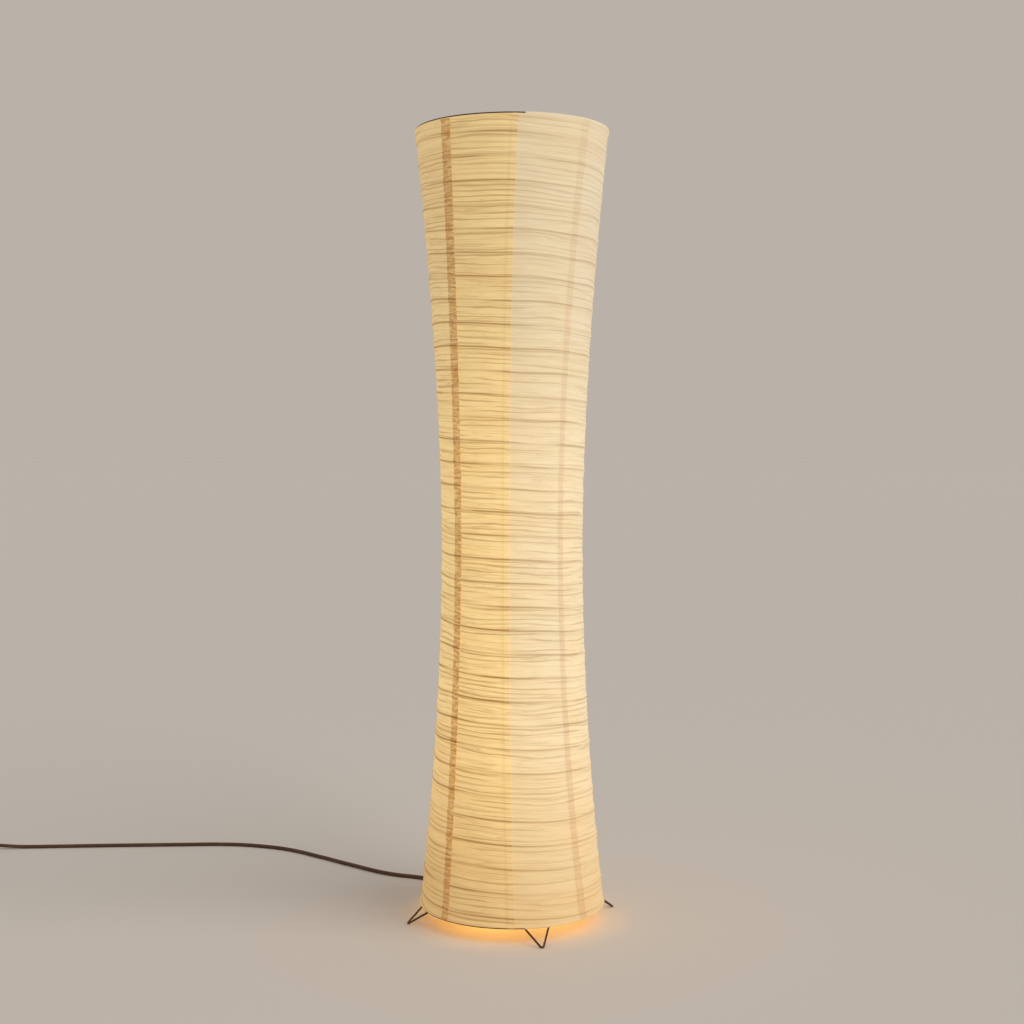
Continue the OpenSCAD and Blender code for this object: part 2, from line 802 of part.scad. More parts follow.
// The cover is crowned across its width, with a well for the rocker.
module switch_cover() {
    crown_r = switch_w * 0.95;
    color(brown_plastic)
        at_switch()
            difference() {
                intersection() {
                    translate([0, 0, switch_half_h])
                        linear_extrude(height = switch_half_h)
                            round_plate(switch_l, switch_w, switch_corner);
                    translate([-switch_l / 2 - 1, 0, 2 * switch_half_h - crown_r])
                        rotate([0, 90, 0])
                            cylinder(r = crown_r, h = switch_l + 2, $fn = 96);
                }
                translate([-rocker_l / 2 - 0.7, -rocker_w / 2 - 0.3, switch_half_h + rocker_rise - 3.6])
                    cube([rocker_l + 1.4, rocker_w + 0.6, switch_half_h]);
                translate([0, 0, switch_half_h + rocker_rise])
                    rotate([90, 0, 0])
                        cylinder(r = rocker_pin_r + pivot_gap, h = rocker_pin_l + 0.6, center = true);
                for (side = [-1, 1])
                    translate([side * screw_x, 0, switch_half_h - 1])
                        cylinder(r = screw_shank_r + thread_gap, h = 5.2);
            }
}

// Shown switched on: the half towards the lamp is pressed down.
module switch_rocker() {
    half_l = rocker_l / 2;
    color([0.12, 0.07, 0.04])
        at_switch()
            translate([0, 0, switch_half_h + rocker_rise])
                rotate([0, rocker_throw / 2, 0])
                    rotate([90, 0, 0]) {
                        translate([0, 0, -rocker_w / 2])
                            linear_extrude(height = rocker_w)
                                polygon([
                                    [-half_l, 3.4], [0, 1.9], [half_l, 3.4], [half_l - 0.8, 0.6],
                                    [2, -2.4], [-2, -2.4], [0.8 - half_l, 0.6]
                                ]);
                        cylinder(r = rocker_pin_r, h = rocker_pin_l, center = true);
                    }
}

module switch_screws() {
    color(zinc)
        at_switch()
            for (side = [-1, 1])
                translate([side * screw_x, 0, 0.4]) {
                    cylinder(r = screw_head_r, h = 1.6);
                    cylinder(r = screw_shank_r, h = switch_half_h + 3);
                }
}

// ---- Plug ----
boot_l = 14;
grip_l = plug_l - boot_l;
// The plug's own X runs out of its face.
module at_plug() {
    translate([plug_x, plug_face_y, plug_z])
        rotate([0, 0, -90])
            children();
}

module plug_body() {
    color(brown_plastic)
        at_plug() {
            // Grip, wide at the face and drawn in towards the cord.
            hull() {
                translate([-3, 0, 0])
                    rotate([0, 90, 0])
                        linear_extrude(height = 3)
                            round_plate(plug_t, plug_w, 5, $fn = 24);
                translate([-grip_l * 0.55, 0, 0])
                    rotate([0, 90, 0])
                        linear_extrude(height = 1)
                            round_plate(plug_t - 1, plug_w * 0.7, 4, $fn = 24);
            }
            hull() {
                translate([-grip_l * 0.55, 0, 0])
                    rotate([0, 90, 0])
                        linear_extrude(height = 1)
                            round_plate(plug_t - 1, plug_w * 0.7, 4, $fn = 24);
                translate([-grip_l, 0, 0])
                    rotate([0, 90, 0])
                        linear_extrude(height = 1)
                            round_plate(plug_t - 2, plug_w * 0.45, 4, $fn = 24);
            }
            // Tapered boot over the cord, with two relief grooves.
            translate([-plug_l, 0, 0])
                rotate([0, 90, 0])
                    rotate_extrude()
                        polygon([
                            [0, 0], [cord_r + 0.8, 0], [cord_r + 1.2, 4], [cord_r + 0.5, 4.4],
                            [cord_r + 0.5, 5.4], [cord_r + 1.5, 5.8], [cord_r + 1.8, 8.4],
                            [cord_r + 1, 8.8], [cord_r + 1, 9.8], [cord_r + 2.1, 10.2],
                            [cord_r + 2.3, boot_l + 1], [0, boot_l + 1]
                        ]);
        }
}

module plug_pins() {
    color(zinc)
        for (side = [-1, 1])
            at_plug()
                translate([0, side * pin_pitch / 2, 0])
                    rotate([0, 90, 0]) {
                        cylinder(r = pin_d / 2, h = pin_l - pin_d / 2);
                        translate([0, 0, pin_l - pin_d / 2])
                            sphere(r = pin_d / 2, $fn = 32);
                    }
}

// ---- Shade frame ----
module top_ring() {
    color(dark_wire)
        translate([0, 0, top_ring_z])
            torus(top_ring_r, ring_wire_r);
}

module bottom_ring() {
    color(dark_wire)
        translate([0, 0, bottom_ring_z])
            torus(bottom_ring_r, ring_wire_r);
}

module top_bar() {
    color(dark_wire)
        ring_strip(0, top_bar_z, top_ring_r, ring_wire_r, top_ring_z, 0);
}

module top_brace() {
    color(dark_wire)
        ring_strip(90, top_bar_z - strip_t, top_ring_r, ring_wire_r, top_ring_z, 0);
}

module top_sockets() {
    color(dark_wire)
        at_uprights()
            translate([0, 0, top_bar_z - sleeve_h])
                pipe(sleeve_r, sleeve_bore_r, sleeve_h);
}

// One half turn of rib wire, rising by half_rise from the side at angle turn to the other side.
module rib_half_turn(z, turn) {
    start_r = paper_r(z) - rib_inset;
    end_r = paper_r(z + half_rise) - rib_inset;
    mid_r = (start_r + end_r) / 2;
    tilt = atan2(half_rise, 2 * mid_r);
    rotate([0, 0, turn])
        translate([(start_r - end_r) / 2, 0, z + half_rise / 2])
            rotate([0, -tilt, 180])
                rotate_extrude(angle = 180, $fn = shade_fn)
                    translate([mid_r / cos(tilt), 0])
                        circle(r = rib_r, $fn = rib_fn);
}

// The whole spiral, which falls to the right as seen from outside.
module rib_spiral() {
    color(dark_wire) {
        for (i = [0 : half_turns - 1])
            rib_half_turn(rib_bottom_z + i * half_rise, i % 2 * 180);
        for (i = [1 : half_turns - 1])
            let (z = rib_bottom_z + i * half_rise)
            rotate([0, 0, i % 2 * 180])
                translate([paper_r(z) - rib_inset, 0, z])
                    rotate([0, 0, 90])
                        wire_collar(rib_r);
    }
}

// ---- Paper ----
profile_step = (paper_top_z - paper_bottom_z) / profile_steps;
function section_z(i, shorter) =
    min(max(paper_bottom_z + i * profile_step, paper_bottom_z + shorter), paper_top_z - shorter);

// Section of the paper between two distances outside its own outer face, shorter at both ends.
module paper_section(inner, outer, shorter) {
    polygon(concat(
        [for (i = [0 : profile_steps]) let (z = section_z(i, shorter)) [paper_r(z) + outer, z]],
        [for (i = [profile_steps : -1 : 0]) let (z = section_z(i, shorter)) [paper_r(z) + inner, z]]
    ));
}

module paper_sweep(start, angle, inner, outer, shorter) {
    rotate([0, 0, start])
        rotate_extrude(angle = angle, $fn = shade_fn)
            paper_section(inner, outer, shorter);
}

// Gore n runs from its own seam to the next, steps out there and laps over the next gore.
module paper_gore(n) {
    seam = closing_turn + n * gore_angle;
    next_seam = seam + gore_angle;
    lap = lap_angle(n == gore_count - 1 ? closing_lap_w : lap_w);
    color(paper_colour) {
        paper_sweep(seam, gore_angle, -paper_t, 0, 0);
        paper_sweep(next_seam - step_angle, step_angle - step_inset_angle, -paper_t / 2,
                    lap_gap + paper_t / 2, step_shorter);
        paper_sweep(next_seam - step_angle / 2, step_angle / 2 + lap, lap_gap, lap_rise, 0);
    }
}
module paper_gore_1() { paper_gore(0); }
module paper_gore_2() { paper_gore(1); }
module paper_gore_3() { paper_gore(2); }
module paper_gore_4() { paper_gore(3); }
module paper_gore_5() { paper_gore(4); }
module paper_gore_6() { paper_gore(5); }
module paper_gore_7() { paper_gore(6); }
module paper_gore_8() { paper_gore(7); }

// ---- Bulbs ----
neck_r = cap_crest_r - thread_depth - 0.6;
// Outline of the glass from its top down to its neck, drawn in by inset.
function glass_outline(inset) = concat(
    [for (a = [90 : -7.5 : -30]) [(globe_r - inset) * cos(a), globe_rise + (globe_r - inset) * sin(a)]],
    [
        for (u = [0.25 : 0.25 : 1])
            let (start = [globe_r * cos(30), globe_rise - globe_r * sin(30)])
            let (end = [neck_r, screw_cap_h + glass_t])
            let (e = u * (2 - u))
            [start.x + (end.x - start.x) * e - inset, start.y + (end.y - start.y) * u]
    ],
    [[neck_r - inset, screw_cap_h - 3]]
);

module bulb_glass(tip_z) {
    outside = glass_outline(0);
    inside = glass_outline(glass_t);
    color([1, 0.93, 0.78, 0.8])
        translate([0, 0, tip_z])
            rotate_extrude()
                polygon(concat(outside, [for (i = [len(inside) - 1 : -1 : 0]) inside[i]]));
}
module lower_bulb_glass() { bulb_glass(lower_tip_z); }
module upper_bulb_glass() { bulb_glass(upper_tip_z); }

// Thin metal cap with rounded ridges, like the thread seen from the side.
module bulb_cap(tip_z) {
    skirt = 6;
    wall = 0.4;
    ridges = floor((screw_cap_h - skirt - 5) / thread_pitch);
    crest = cap_crest_r;
    root = cap_crest_r - thread_depth;
    outside = concat(
        [[crest - 3, skirt - 1], [root, skirt]],
        [
            for (i = [0 : ridges - 1])
                let (z = skirt + i * thread_pitch)
                for (k = [[0.25, 0.6], [0.5, 1], [0.75, 0.6], [1, 0]])
                    [root + thread_depth * k.y, z + thread_pitch * k.x]
        ],
        [[root + 0.2, screw_cap_h]]
    );
    color([0.78, 0.76, 0.7])
        translate([0, 0, tip_z])
            rotate_extrude()
                polygon(concat(outside, [[neck_r + 0.2, screw_cap_h], [neck_r + 0.2, skirt + 1],
                                         [crest - 3, skirt - 1 + wall]]));
}
module lower_bulb_cap() { bulb_cap(lower_tip_z); }
module upper_bulb_cap() { bulb_cap(upper_tip_z); }

// The insulating cone with the centre contact.
module bulb_contact(tip_z) {
    color([0.15, 0.14, 0.13])
        translate([0, 0, tip_z])
            rotate_extrude()
                polygon([[0, 0], [3.6, 0], [4.6, 1], [5, 1.8], [cap_crest_r - 3.2, 4.7], [0, 4.7]]);
}
module lower_bulb_contact() { bulb_contact(lower_tip_z); }
module upper_bulb_contact() { bulb_contact(upper_tip_z); }

// ---- Drawing ----
left_foot();
front_foot();
right_foot();
back_foot();
base_ring();
base_bar();
base_brace();
upright_sleeves();
left_upright();
right_upright();
lower_bridge();
upper_bridge();
bridge_collars();
grub_screws();
nipples();
nipple_nuts();
lower_holder_cap();
upper_holder_cap();
lower_holder_shell();
upper_holder_shell();
holder_cores();
thread_shells();
centre_contacts();
supply_lead();
link_lead();
lead_clips();
cord_grommet();
cord_clamp();
floor_cord();
switch_base();
switch_cover();
switch_screws();
switch_rocker();
switch_tail();
cord_coil();
coil_tie();
plug_tail();
plug_body();
plug_pins();
top_ring();
top_bar();
top_brace();
top_sockets();
rib_spiral();
paper_gore_1();
paper_gore_2();
paper_gore_3();
paper_gore_4();
paper_gore_5();
paper_gore_6();
paper_gore_7();
paper_gore_8();
bottom_ring();
lower_bulb_glass();
lower_bulb_cap();
lower_bulb_contact();
upper_bulb_glass();
upper_bulb_cap();
upper_bulb_contact();
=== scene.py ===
import json
import math

import bmesh
import bpy
import numpy as np
from mathutils import Matrix, Vector


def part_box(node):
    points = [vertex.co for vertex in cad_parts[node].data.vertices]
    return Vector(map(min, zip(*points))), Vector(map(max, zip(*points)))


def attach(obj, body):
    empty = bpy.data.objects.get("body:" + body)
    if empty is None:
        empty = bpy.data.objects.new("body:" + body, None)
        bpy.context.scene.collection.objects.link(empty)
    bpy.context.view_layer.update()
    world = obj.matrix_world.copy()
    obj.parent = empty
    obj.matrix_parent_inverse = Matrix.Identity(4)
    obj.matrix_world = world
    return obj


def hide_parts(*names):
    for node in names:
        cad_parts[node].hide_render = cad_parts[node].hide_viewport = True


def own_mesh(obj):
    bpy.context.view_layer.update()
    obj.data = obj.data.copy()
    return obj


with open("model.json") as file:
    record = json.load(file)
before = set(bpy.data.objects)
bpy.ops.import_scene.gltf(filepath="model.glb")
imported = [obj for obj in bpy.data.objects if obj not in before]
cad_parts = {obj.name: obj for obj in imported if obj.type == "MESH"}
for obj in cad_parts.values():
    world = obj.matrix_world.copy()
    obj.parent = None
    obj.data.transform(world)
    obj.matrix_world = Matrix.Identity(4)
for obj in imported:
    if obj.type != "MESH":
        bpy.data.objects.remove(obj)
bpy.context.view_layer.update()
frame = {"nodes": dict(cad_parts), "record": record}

MM = 0.001
bpy.context.scene.view_settings.view_transform = "Standard"

# ---- Camera: level, to the left of the front foot, at the photograph's angle ----
SENSOR_MM, LENS_MM = 36, 55.1
FRAME_SHIFT = -0.0703
CAMERA_PLACE = (-0.6414, -2.3127, 0.7275)
CAMERA_TURN = -15.5

camera_data = bpy.data.cameras.new("camera")
camera_data.sensor_width = SENSOR_MM
camera_data.lens = LENS_MM
camera_data.shift_y = FRAME_SHIFT
camera = bpy.data.objects.new("camera", camera_data)
camera.location = CAMERA_PLACE
camera.rotation_euler = (math.radians(90), 0, math.radians(CAMERA_TURN))
bpy.context.scene.collection.objects.link(camera)
bpy.context.scene.camera = camera

# ---- Sizes of the lamp, in millimetres ----
TOTAL_H = 1200
TOP_R, WAIST_R, BOTTOM_R, WAIST_Z = 148, 108, 140, 570
# How the outline opens above and below the waist.
UPPER_POWER, LOWER_POWER = 1.7, 1.95
RING_WIRE_R = 1.5
SEAT_GAP = 0.3
BOTTOM_RING_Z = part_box("bottom_ring")[0].z / MM + RING_WIRE_R
# Top of the paper in the CAD source. The sheets here reach further, round both ring wires.
PAPER_HIGH = TOTAL_H - 2 * RING_WIRE_R - SEAT_GAP
SHEET_LOW, SHEET_HIGH = BOTTOM_RING_Z + 0.6, TOTAL_H - 2.3
GORES = 8
GORE_ANGLE = 360 / GORES
CLOSING_TURN = -155.5
RIB_R = 0.9
RIB_INSET = 1.9
RIB_TURNS = 34
RIB_LOW = BOTTOM_RING_Z + RING_WIRE_R + RIB_R + SEAT_GAP
RIB_HIGH = PAPER_HIGH - RIB_R
RIB_PITCH = (RIB_HIGH - RIB_LOW) / RIB_TURNS
RIB_WANDER = 1.1


def paper_radius(z):
    """Outer radius of the paper at height z."""
    up = np.clip((z - WAIST_Z) / (TOTAL_H - WAIST_Z), 0, 1)
    down = np.clip((WAIST_Z - z) / (WAIST_Z - BOTTOM_RING_Z), 0, 1)
    return WAIST_R + (TOP_R - WAIST_R) * up**UPPER_POWER + (BOTTOM_R - WAIST_R) * down**LOWER_POWER


# ---- Making and finishing pieces ----
def link(name, data, body, slot, *replaced):
    """A finished piece on its body, with the CAD nodes that it stands for."""
    piece = bpy.data.objects.new(name, data)
    bpy.context.scene.collection.objects.link(piece)
    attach(piece, body)
    if replaced:
        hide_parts(*replaced)
    return piece


def to_mesh(bm, name):
    """The bmesh as a smooth mesh whose faces point outwards."""
    bmesh.ops.recalc_face_normals(bm, faces=bm.faces)
    for face in bm.faces:
        face.smooth = True
    mesh = bpy.data.meshes.new(name)
    bm.to_mesh(mesh)
    bm.free()
    return mesh


def close_ends(bm):
    bmesh.ops.holes_fill(bm, edges=[edge for edge in bm.edges if edge.is_boundary])


def vertex_places(mesh):
    """The places of a mesh's vertices in metres, one row each."""
    places = np.empty(len(mesh.vertices) * 3)
    mesh.vertices.foreach_get("co", places)
    return places.reshape(-1, 3)


def smooth_path(points, step):
    """The smooth curve through all points, as in the CAD source, in steps of about step."""
    p = [Vector(q) for q in points]
    p = [2 * p[0] - p[1]] + p + [2 * p[-1] - p[-2]]
    path = []
    for a, b, c, d in zip(p, p[1:], p[2:], p[3:]):
        n = max(1, round((c - b).length / step))
        for j in range(n):
            t = j / n
            path.append((2 * b + (c - a) * t + (2 * a - 5 * b + 4 * c - d) * t**2
                         + (3 * b - a - 3 * c + d) * t**3) / 2)
    return path + [p[-2]]


def tube(path, radii, sides):
    """A bmesh tube along a path of points in millimetres, closed at both ends."""
    bm = bmesh.new()
    end = len(path) - 1
    ahead = [(path[min(i + 1, end)] - path[max(i - 1, 0)]).normalized() for i in range(end + 1)]
    side = ahead[0].orthogonal().normalized()
    last = None
    for i, centre in enumerate(path):
        side = (side - side.dot(ahead[i]) * ahead[i]).normalized()
        turn = Matrix((side, ahead[i].cross(side), ahead[i])).transposed().to_4x4()
        ring = bmesh.ops.create_circle(
            bm, segments=sides, radius=radii[i] * MM, cap_ends=i in (0, end),
            matrix=Matrix.Translation(centre * MM) @ turn)["verts"]
        edges = list({edge for v in ring for edge in v.link_edges if edge.other_vert(v) in ring})
        if last:
            bmesh.ops.bridge_loops(bm, edges=last + edges)
        last = edges
    return bm


# ---- Cord: the same route as in the CAD source, in millimetres ----
CORD_R = 3
CORD_SIDES = 16
CORD_STEP = 6
LAY_Z = CORD_R + 0.1
GROMMET_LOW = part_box("cord_grommet")[0].z / MM
SWITCH = (-840, 622, 8)
SWITCH_HALF_L = 32
PLUG_END = (-906, 458, 7)
COIL_X, COIL_Y = -880, 555
COIL_TURNS = 5
COIL_STEPS = 48
TURN_PITCH = 6.6
COIL_IN_R = 33 - TURN_PITCH * COIL_TURNS / 4
COIL_OUT_R = COIL_IN_R + TURN_PITCH * COIL_TURNS / 2
COIL_Z = 3.9
COIL_ENTRY = (COIL_X - COIL_OUT_R, COIL_Y + 6, COIL_Z)
COIL_EXIT = (COIL_X - COIL_OUT_R, COIL_Y - 6, COIL_Z + TURN_PITCH)
FLOOR_ROUTE = [
    (0, 0, GROMMET_LOW), (0, 0, 33), (0, 0, 26), (-1, 3, 15), (-3, 12, 6.4), (-7, 25, 3.7)
] + [(x, y, LAY_Z) for x, y in (
    (-14, 50), (-22, 84), (-33, 118), (-45, 152), (-59, 184), (-76, 211), (-98, 233),
    (-126, 254), (-148, 276), (-166, 300), (-184, 327), (-203, 355), (-222, 385), (-242, 414),
    (-261, 442), (-282, 467), (-304, 487), (-327, 503), (-350, 517), (-375, 528), (-409, 539),
    (-444, 547), (-479, 555), (-514, 563), (-550, 571), (-586, 579), (-624, 587), (-662, 595),
    (-700, 603)
)] + [(-738, 611, 3.5), (-772, 618, 6), (-790, 621, 7.6), (SWITCH[0] + SWITCH_HALF_L, *SWITCH[1:])]
SWITCH_ROUTE = [
    (SWITCH[0] - SWITCH_HALF_L, *SWITCH[1:]), (-886, 622, 7.2), (-899, 619, 6.2),
    (-911, 612, 5.2), (-918, 600, 4.4), (-921, 587, 4), (COIL_ENTRY[0], 574, COIL_Z), COIL_ENTRY
]
PLUG_ROUTE = [
    COIL_EXIT, (-921, 535, 9.6), (-919.5, 521, 7.4), (-916.5, 506, 5.4), (-912, 491, 4.7),
    (-908, 476, 5.6), (-906.4, 466, 6.6), PLUG_END
]


def coil_point(t):
    """Point of the coil after t turns: in on the lower layer, up, and out on the upper one."""
    s = abs(t - COIL_TURNS / 2)
    r = COIL_IN_R + TURN_PITCH * (2 * s**2 + 0.125 if s < 0.25 else s)
    u = min(1, max(0, (t - COIL_TURNS / 2 + 0.25) / 0.5))
    a = math.pi + 2 * math.pi * t
    return Vector((COIL_X + r * math.cos(a), COIL_Y + r * math.sin(a),
                   COIL_Z + TURN_PITCH * u * u * (3 - 2 * u)))


coil_path = [coil_point(i / COIL_STEPS) for i in range(COIL_TURNS * COIL_STEPS + 1)]
floor_path = smooth_path(FLOOR_ROUTE, CORD_STEP)
switch_path = smooth_path(SWITCH_ROUTE, CORD_STEP)
cord_path = floor_path + switch_path + coil_path + smooth_path(PLUG_ROUTE, CORD_STEP)

cord_mesh = to_mesh(tube(cord_path, [CORD_R] * len(cord_path), CORD_SIDES), "supply_cord")
cord = link("supply_cord", cord_mesh, "stand", "brown_cord",
            "floor_cord", "switch_tail", "cord_coil", "plug_tail")

RELIEF_SIDES = 24
RELIEF_STEP = 0.8
THIN_END_R = CORD_R + 0.35
# The grooves' depth, their number over the sleeve, how much of each step is cut, and where.
GROOVE_DEPTH, GROOVES, GROOVE_SHARE = 0.45, 5.5, 0.35
GROOVES_FROM, GROOVES_TO = 0.12, 0.92


def relief(name, path, length, wide_r):
    """A grooved rubber sleeve that narrows along the cord from where it leaves a housing."""
    fine = smooth_path(path, RELIEF_STEP)
    gone, points, radii = 0, [], []
    for here, ahead in zip(fine, fine[1:]):
        share = gone / length
        grooved = GROOVES_FROM < share < GROOVES_TO and share * GROOVES % 1 < GROOVE_SHARE
        points.append(here)
        radii.append(wide_r + (THIN_END_R - wide_r) * share
                     - (GROOVE_DEPTH if grooved else 0) * (1 - share / 2))
        gone += (ahead - here).length
        if gone > length:
            break
    mesh = to_mesh(tube(points, radii, RELIEF_SIDES), name)
    return link(name, mesh, "stand", "black_rubber")


exit_relief = relief("exit_relief", floor_path[:14], 24, 5.2)
switch_reliefs = [relief("switch_relief_in", floor_path[:-16:-1], 22, 5),
                  relief("switch_relief_out", switch_path[:14], 22, 5)]


# ---- Shader helpers ----
def shader_node(tree, kind, values=(), **settings):
    """A node with its settings and input values; a value may be another node's output."""
    node = tree.nodes.new(kind)
    for key, value in settings.items():
        setattr(node, key, value)
    for key, value in dict(values).items():
        if isinstance(value, bpy.types.NodeSocket):
            tree.links.new(value, node.inputs[key])
        else:
            node.inputs[key].default_value = value
    return node


def maths(tree, operation, *values, clamp=False):
    return shader_node(tree, "ShaderNodeMath", enumerate(values), operation=operation,
                       use_clamp=clamp).outputs[0]


def times(tree, *values, clamp=False):
    return maths(tree, "MULTIPLY", *values, clamp=clamp)


def mixed(tree, factor, a, b, blend="MIX"):
    """Colour a turned into b by factor."""
    node = shader_node(tree, "ShaderNodeMix", data_type="RGBA", blend_type=blend)
    for socket, value in ((0, factor), (6, a), (7, b)):
        if isinstance(value, bpy.types.NodeSocket):
            tree.links.new(value, node.inputs[socket])
        else:
            node.inputs[socket].default_value = value
    return node.outputs[2]


def noise(tree, vector, scale, detail=2, roughness=0.5):
    return shader_node(tree, "ShaderNodeTexNoise", {
        "Vector": vector, "Scale": scale, "Detail": detail, "Roughness": roughness}).outputs[0]


def stretched(tree, vector, scale):
    return shader_node(tree, "ShaderNodeVectorMath", {0: vector, 1: scale},
                       operation="MULTIPLY").outputs[0]


def sheet_noise(tree, sheet, round_scale, up_scale, detail=2, roughness=0.5):
    """Noise on a sheet's own map, with one scale round the lamp and another up it."""
    place = stretched(tree, sheet, (round_scale, up_scale, 1))
    return noise(tree, place, 1, detail, roughness)


def ramped(tree, value, low, high, to_low=0, to_high=1):
    """value from low to high turned smoothly into to_low to to_high."""
    return shader_node(tree, "ShaderNodeMapRange", {
        "Value": value, "From Min": low, "From Max": high, "To Min": to_low, "To Max": to_high},
        interpolation_type="SMOOTHSTEP").outputs[0]


def new_group(name, inputs, outputs):
    """An empty shader node group, with its input sockets' outputs and its output's sockets."""
    group = bpy.data.node_groups.new(name, "ShaderNodeTree")
    for label, kind, value in inputs:
        socket = group.interface.new_socket(label, in_out="INPUT", socket_type=kind)
        if value is not None:
            socket.default_value = value
    for label, kind in outputs:
        group.interface.new_socket(label, in_out="OUTPUT", socket_type=kind)
    given = group.nodes.new("NodeGroupInput").outputs
    return group, given, group.nodes.new("NodeGroupOutput").inputs


def new_material(name):
    """An empty node material and its tree."""
    material = bpy.data.materials.new(name)
    material.use_nodes = True
    material.node_tree.nodes.clear()
    return material, material.node_tree


FLOAT, COLOUR, VECTOR = "NodeSocketFloat", "NodeSocketColor", "NodeSocketVector"


def surface_variation():
    """Blotches and fine grain over any surface, as a colour, a roughness and a height."""
    group, given, out = new_group(
        "surface_variation",
        [("Colour", COLOUR, None), ("Worn Colour", COLOUR, None), ("Scale", FLOAT, 60),
         ("Grain Scale", FLOAT, 900), ("Stretch", VECTOR, (1, 1, 1)), ("Wear", FLOAT, 0.2),
         ("Roughness", FLOAT, 0.4), ("Roughness Spread", FLOAT, 0.1)],
        [("Colour", COLOUR), ("Roughness", FLOAT), ("Height", FLOAT)])
    place = group.nodes.new("ShaderNodeTexCoord").outputs["Object"]
    along = stretched(group, place, given["Stretch"])
    blotch = noise(group, along, given["Scale"], 4, 0.6)
    grain = noise(group, along, given["Grain Scale"], 2, 0.5)
    worn = times(group, ramped(group, blotch, 0.45, 0.75), given["Wear"], clamp=True)
    shade = mixed(group, worn, given["Colour"], given["Worn Colour"])
    group.links.new(shade, out["Colour"])
    spread, fine = [times(group, maths(group, "SUBTRACT", value, 0.5), given["Roughness Spread"])
                    for value in (blotch, grain)]
    rough = maths(group, "ADD", maths(group, "ADD", given["Roughness"], spread), fine, clamp=True)
    group.links.new(rough, out["Roughness"])
    group.links.new(grain, out["Height"])
    return group


variation = surface_variation()


def finish_material(name, colour, worn, roughness, metallic=0.0, scale=60, grain=900,
                    stretch=(1, 1, 1), wear=0.3, spread=0.15, bump=0.05, **shader):
    """A material whose colour, roughness and relief vary over the surface."""
    material, tree = new_material(name)
    look = shader_node(tree, "ShaderNodeGroup", node_tree=variation)
    for key, value in {
        "Colour": (*colour, 1), "Worn Colour": (*worn, 1), "Scale": scale, "Grain Scale": grain,
        "Stretch": stretch, "Wear": wear, "Roughness": roughness, "Roughness Spread": spread,
    }.items():
        look.inputs[key].default_value = value
    bumps = shader_node(tree, "ShaderNodeBump", {
        "Strength": bump, "Distance": 0.0005, "Height": look.outputs["Height"]})
    body = shader_node(tree, "ShaderNodeBsdfPrincipled", {
        "Base Color": look.outputs["Colour"], "Roughness": look.outputs["Roughness"],
        "Metallic": metallic, "Normal": bumps.outputs[0], **shader})
    shader_node(tree, "ShaderNodeOutputMaterial", {"Surface": body.outputs[0]})
    return material


materials = {
    "dark_wire": finish_material(
        "dark_bronze_paint", (0.075, 0.034, 0.012), (0.2, 0.1, 0.04), 0.42, 0.35, wear=0.45),
    "zinc_steel": finish_material(
        "zinc_plated_steel", (0.5, 0.5, 0.5), (0.36, 0.37, 0.39), 0.34, 1.0, scale=90, spread=0.25),
    "brass": finish_material(
        "turned_brass", (0.72, 0.48, 0.17), (0.4, 0.25, 0.09), 0.28, 1.0,
        stretch=(0.15, 0.15, 1), grain=2400),
    "ivory_plastic": finish_material(
        "ivory_moulding", (0.78, 0.74, 0.63), (0.66, 0.6, 0.47), 0.32, wear=0.2, bump=0.03),
    "clip_plastic": finish_material(
        "milky_clip", (0.72, 0.69, 0.6), (0.6, 0.56, 0.47), 0.5, wear=0.25),
    "core_ceramic": finish_material(
        "holder_ceramic", (0.85, 0.83, 0.76), (0.7, 0.65, 0.55), 0.6, wear=0.3, bump=0.12),
    "brown_cord": finish_material(
        "cord_sheath", (0.085, 0.033, 0.011), (0.16, 0.075, 0.03), 0.42, scale=25, wear=0.55,
        grain=1500, bump=0.12),
    "brown_plastic": finish_material(
        "brown_moulding", (0.05, 0.02, 0.008), (0.085, 0.038, 0.016), 0.36, wear=0.4, grain=1800,
        bump=0.1),
    "rocker_plastic": finish_material(
        "rocker_moulding", (0.022, 0.011, 0.006), (0.05, 0.025, 0.012), 0.3, wear=0.3),
    "black_rubber": finish_material(
        "grommet_rubber", (0.018, 0.017, 0.016), (0.045, 0.042, 0.04), 0.7, wear=0.4, bump=0.1),
    "pin_nickel": finish_material(
        "nickel_pins", (0.62, 0.6, 0.55), (0.42, 0.4, 0.36), 0.22, 1.0, stretch=(0.2, 1, 1)),
    "cap_nickel": finish_material(
        "nickel_screw_cap", (0.6, 0.58, 0.53), (0.4, 0.38, 0.34), 0.28, 1.0),
    "cap_insulator": finish_material(
        "black_insulator", (0.012, 0.012, 0.013), (0.03, 0.03, 0.03), 0.2, wear=0.3),
    "bulb_glass": finish_material(
        "opal_glass", (0.8, 0.72, 0.56), (0.74, 0.64, 0.48), 0.25, wear=0.3, bump=0.01,
        **{"Emission Color": (1.0, 0.72, 0.38, 1), "Emission Strength": 0.42}),
}

# ---- Marks in the paper, with painted shadow and shade among them ----
# Painted shadow of the rib wire on the paper, which also shapes its ridge: full up to the first
# distance from its middle in millimetres and none from the second, with a fainter halo of painted
# shadow round it.
RIB_CORE = (0.6, 1.9)
RIB_HALO = (0.5, 5)
HALO_STRENGTH = 0.3
# Wander of the creases: the noise's scale round and up the lamp, and millimetres.
CREASE_WANDERS = (((5, 26), 15), ((17, 120), 5))
# Two sets of creases: spacing, noise at which one starts and is full, half width, strength.
CREASE_SETS = ((7.6, 0.38, 0.58, 1.8, 0.95), (3.1, 0.42, 0.62, 1.1, 0.58))
# Half width in noise and strength of the thin creases that branch.
BRANCH_WIDTH, BRANCH_STRENGTH = 0.03, 0.55
# How far ribs, creases and fibres stand out in the bump.
RIB_BUMP, CREASE_BUMP, FIBRE_BUMP = 0.5, -0.6, 0.8
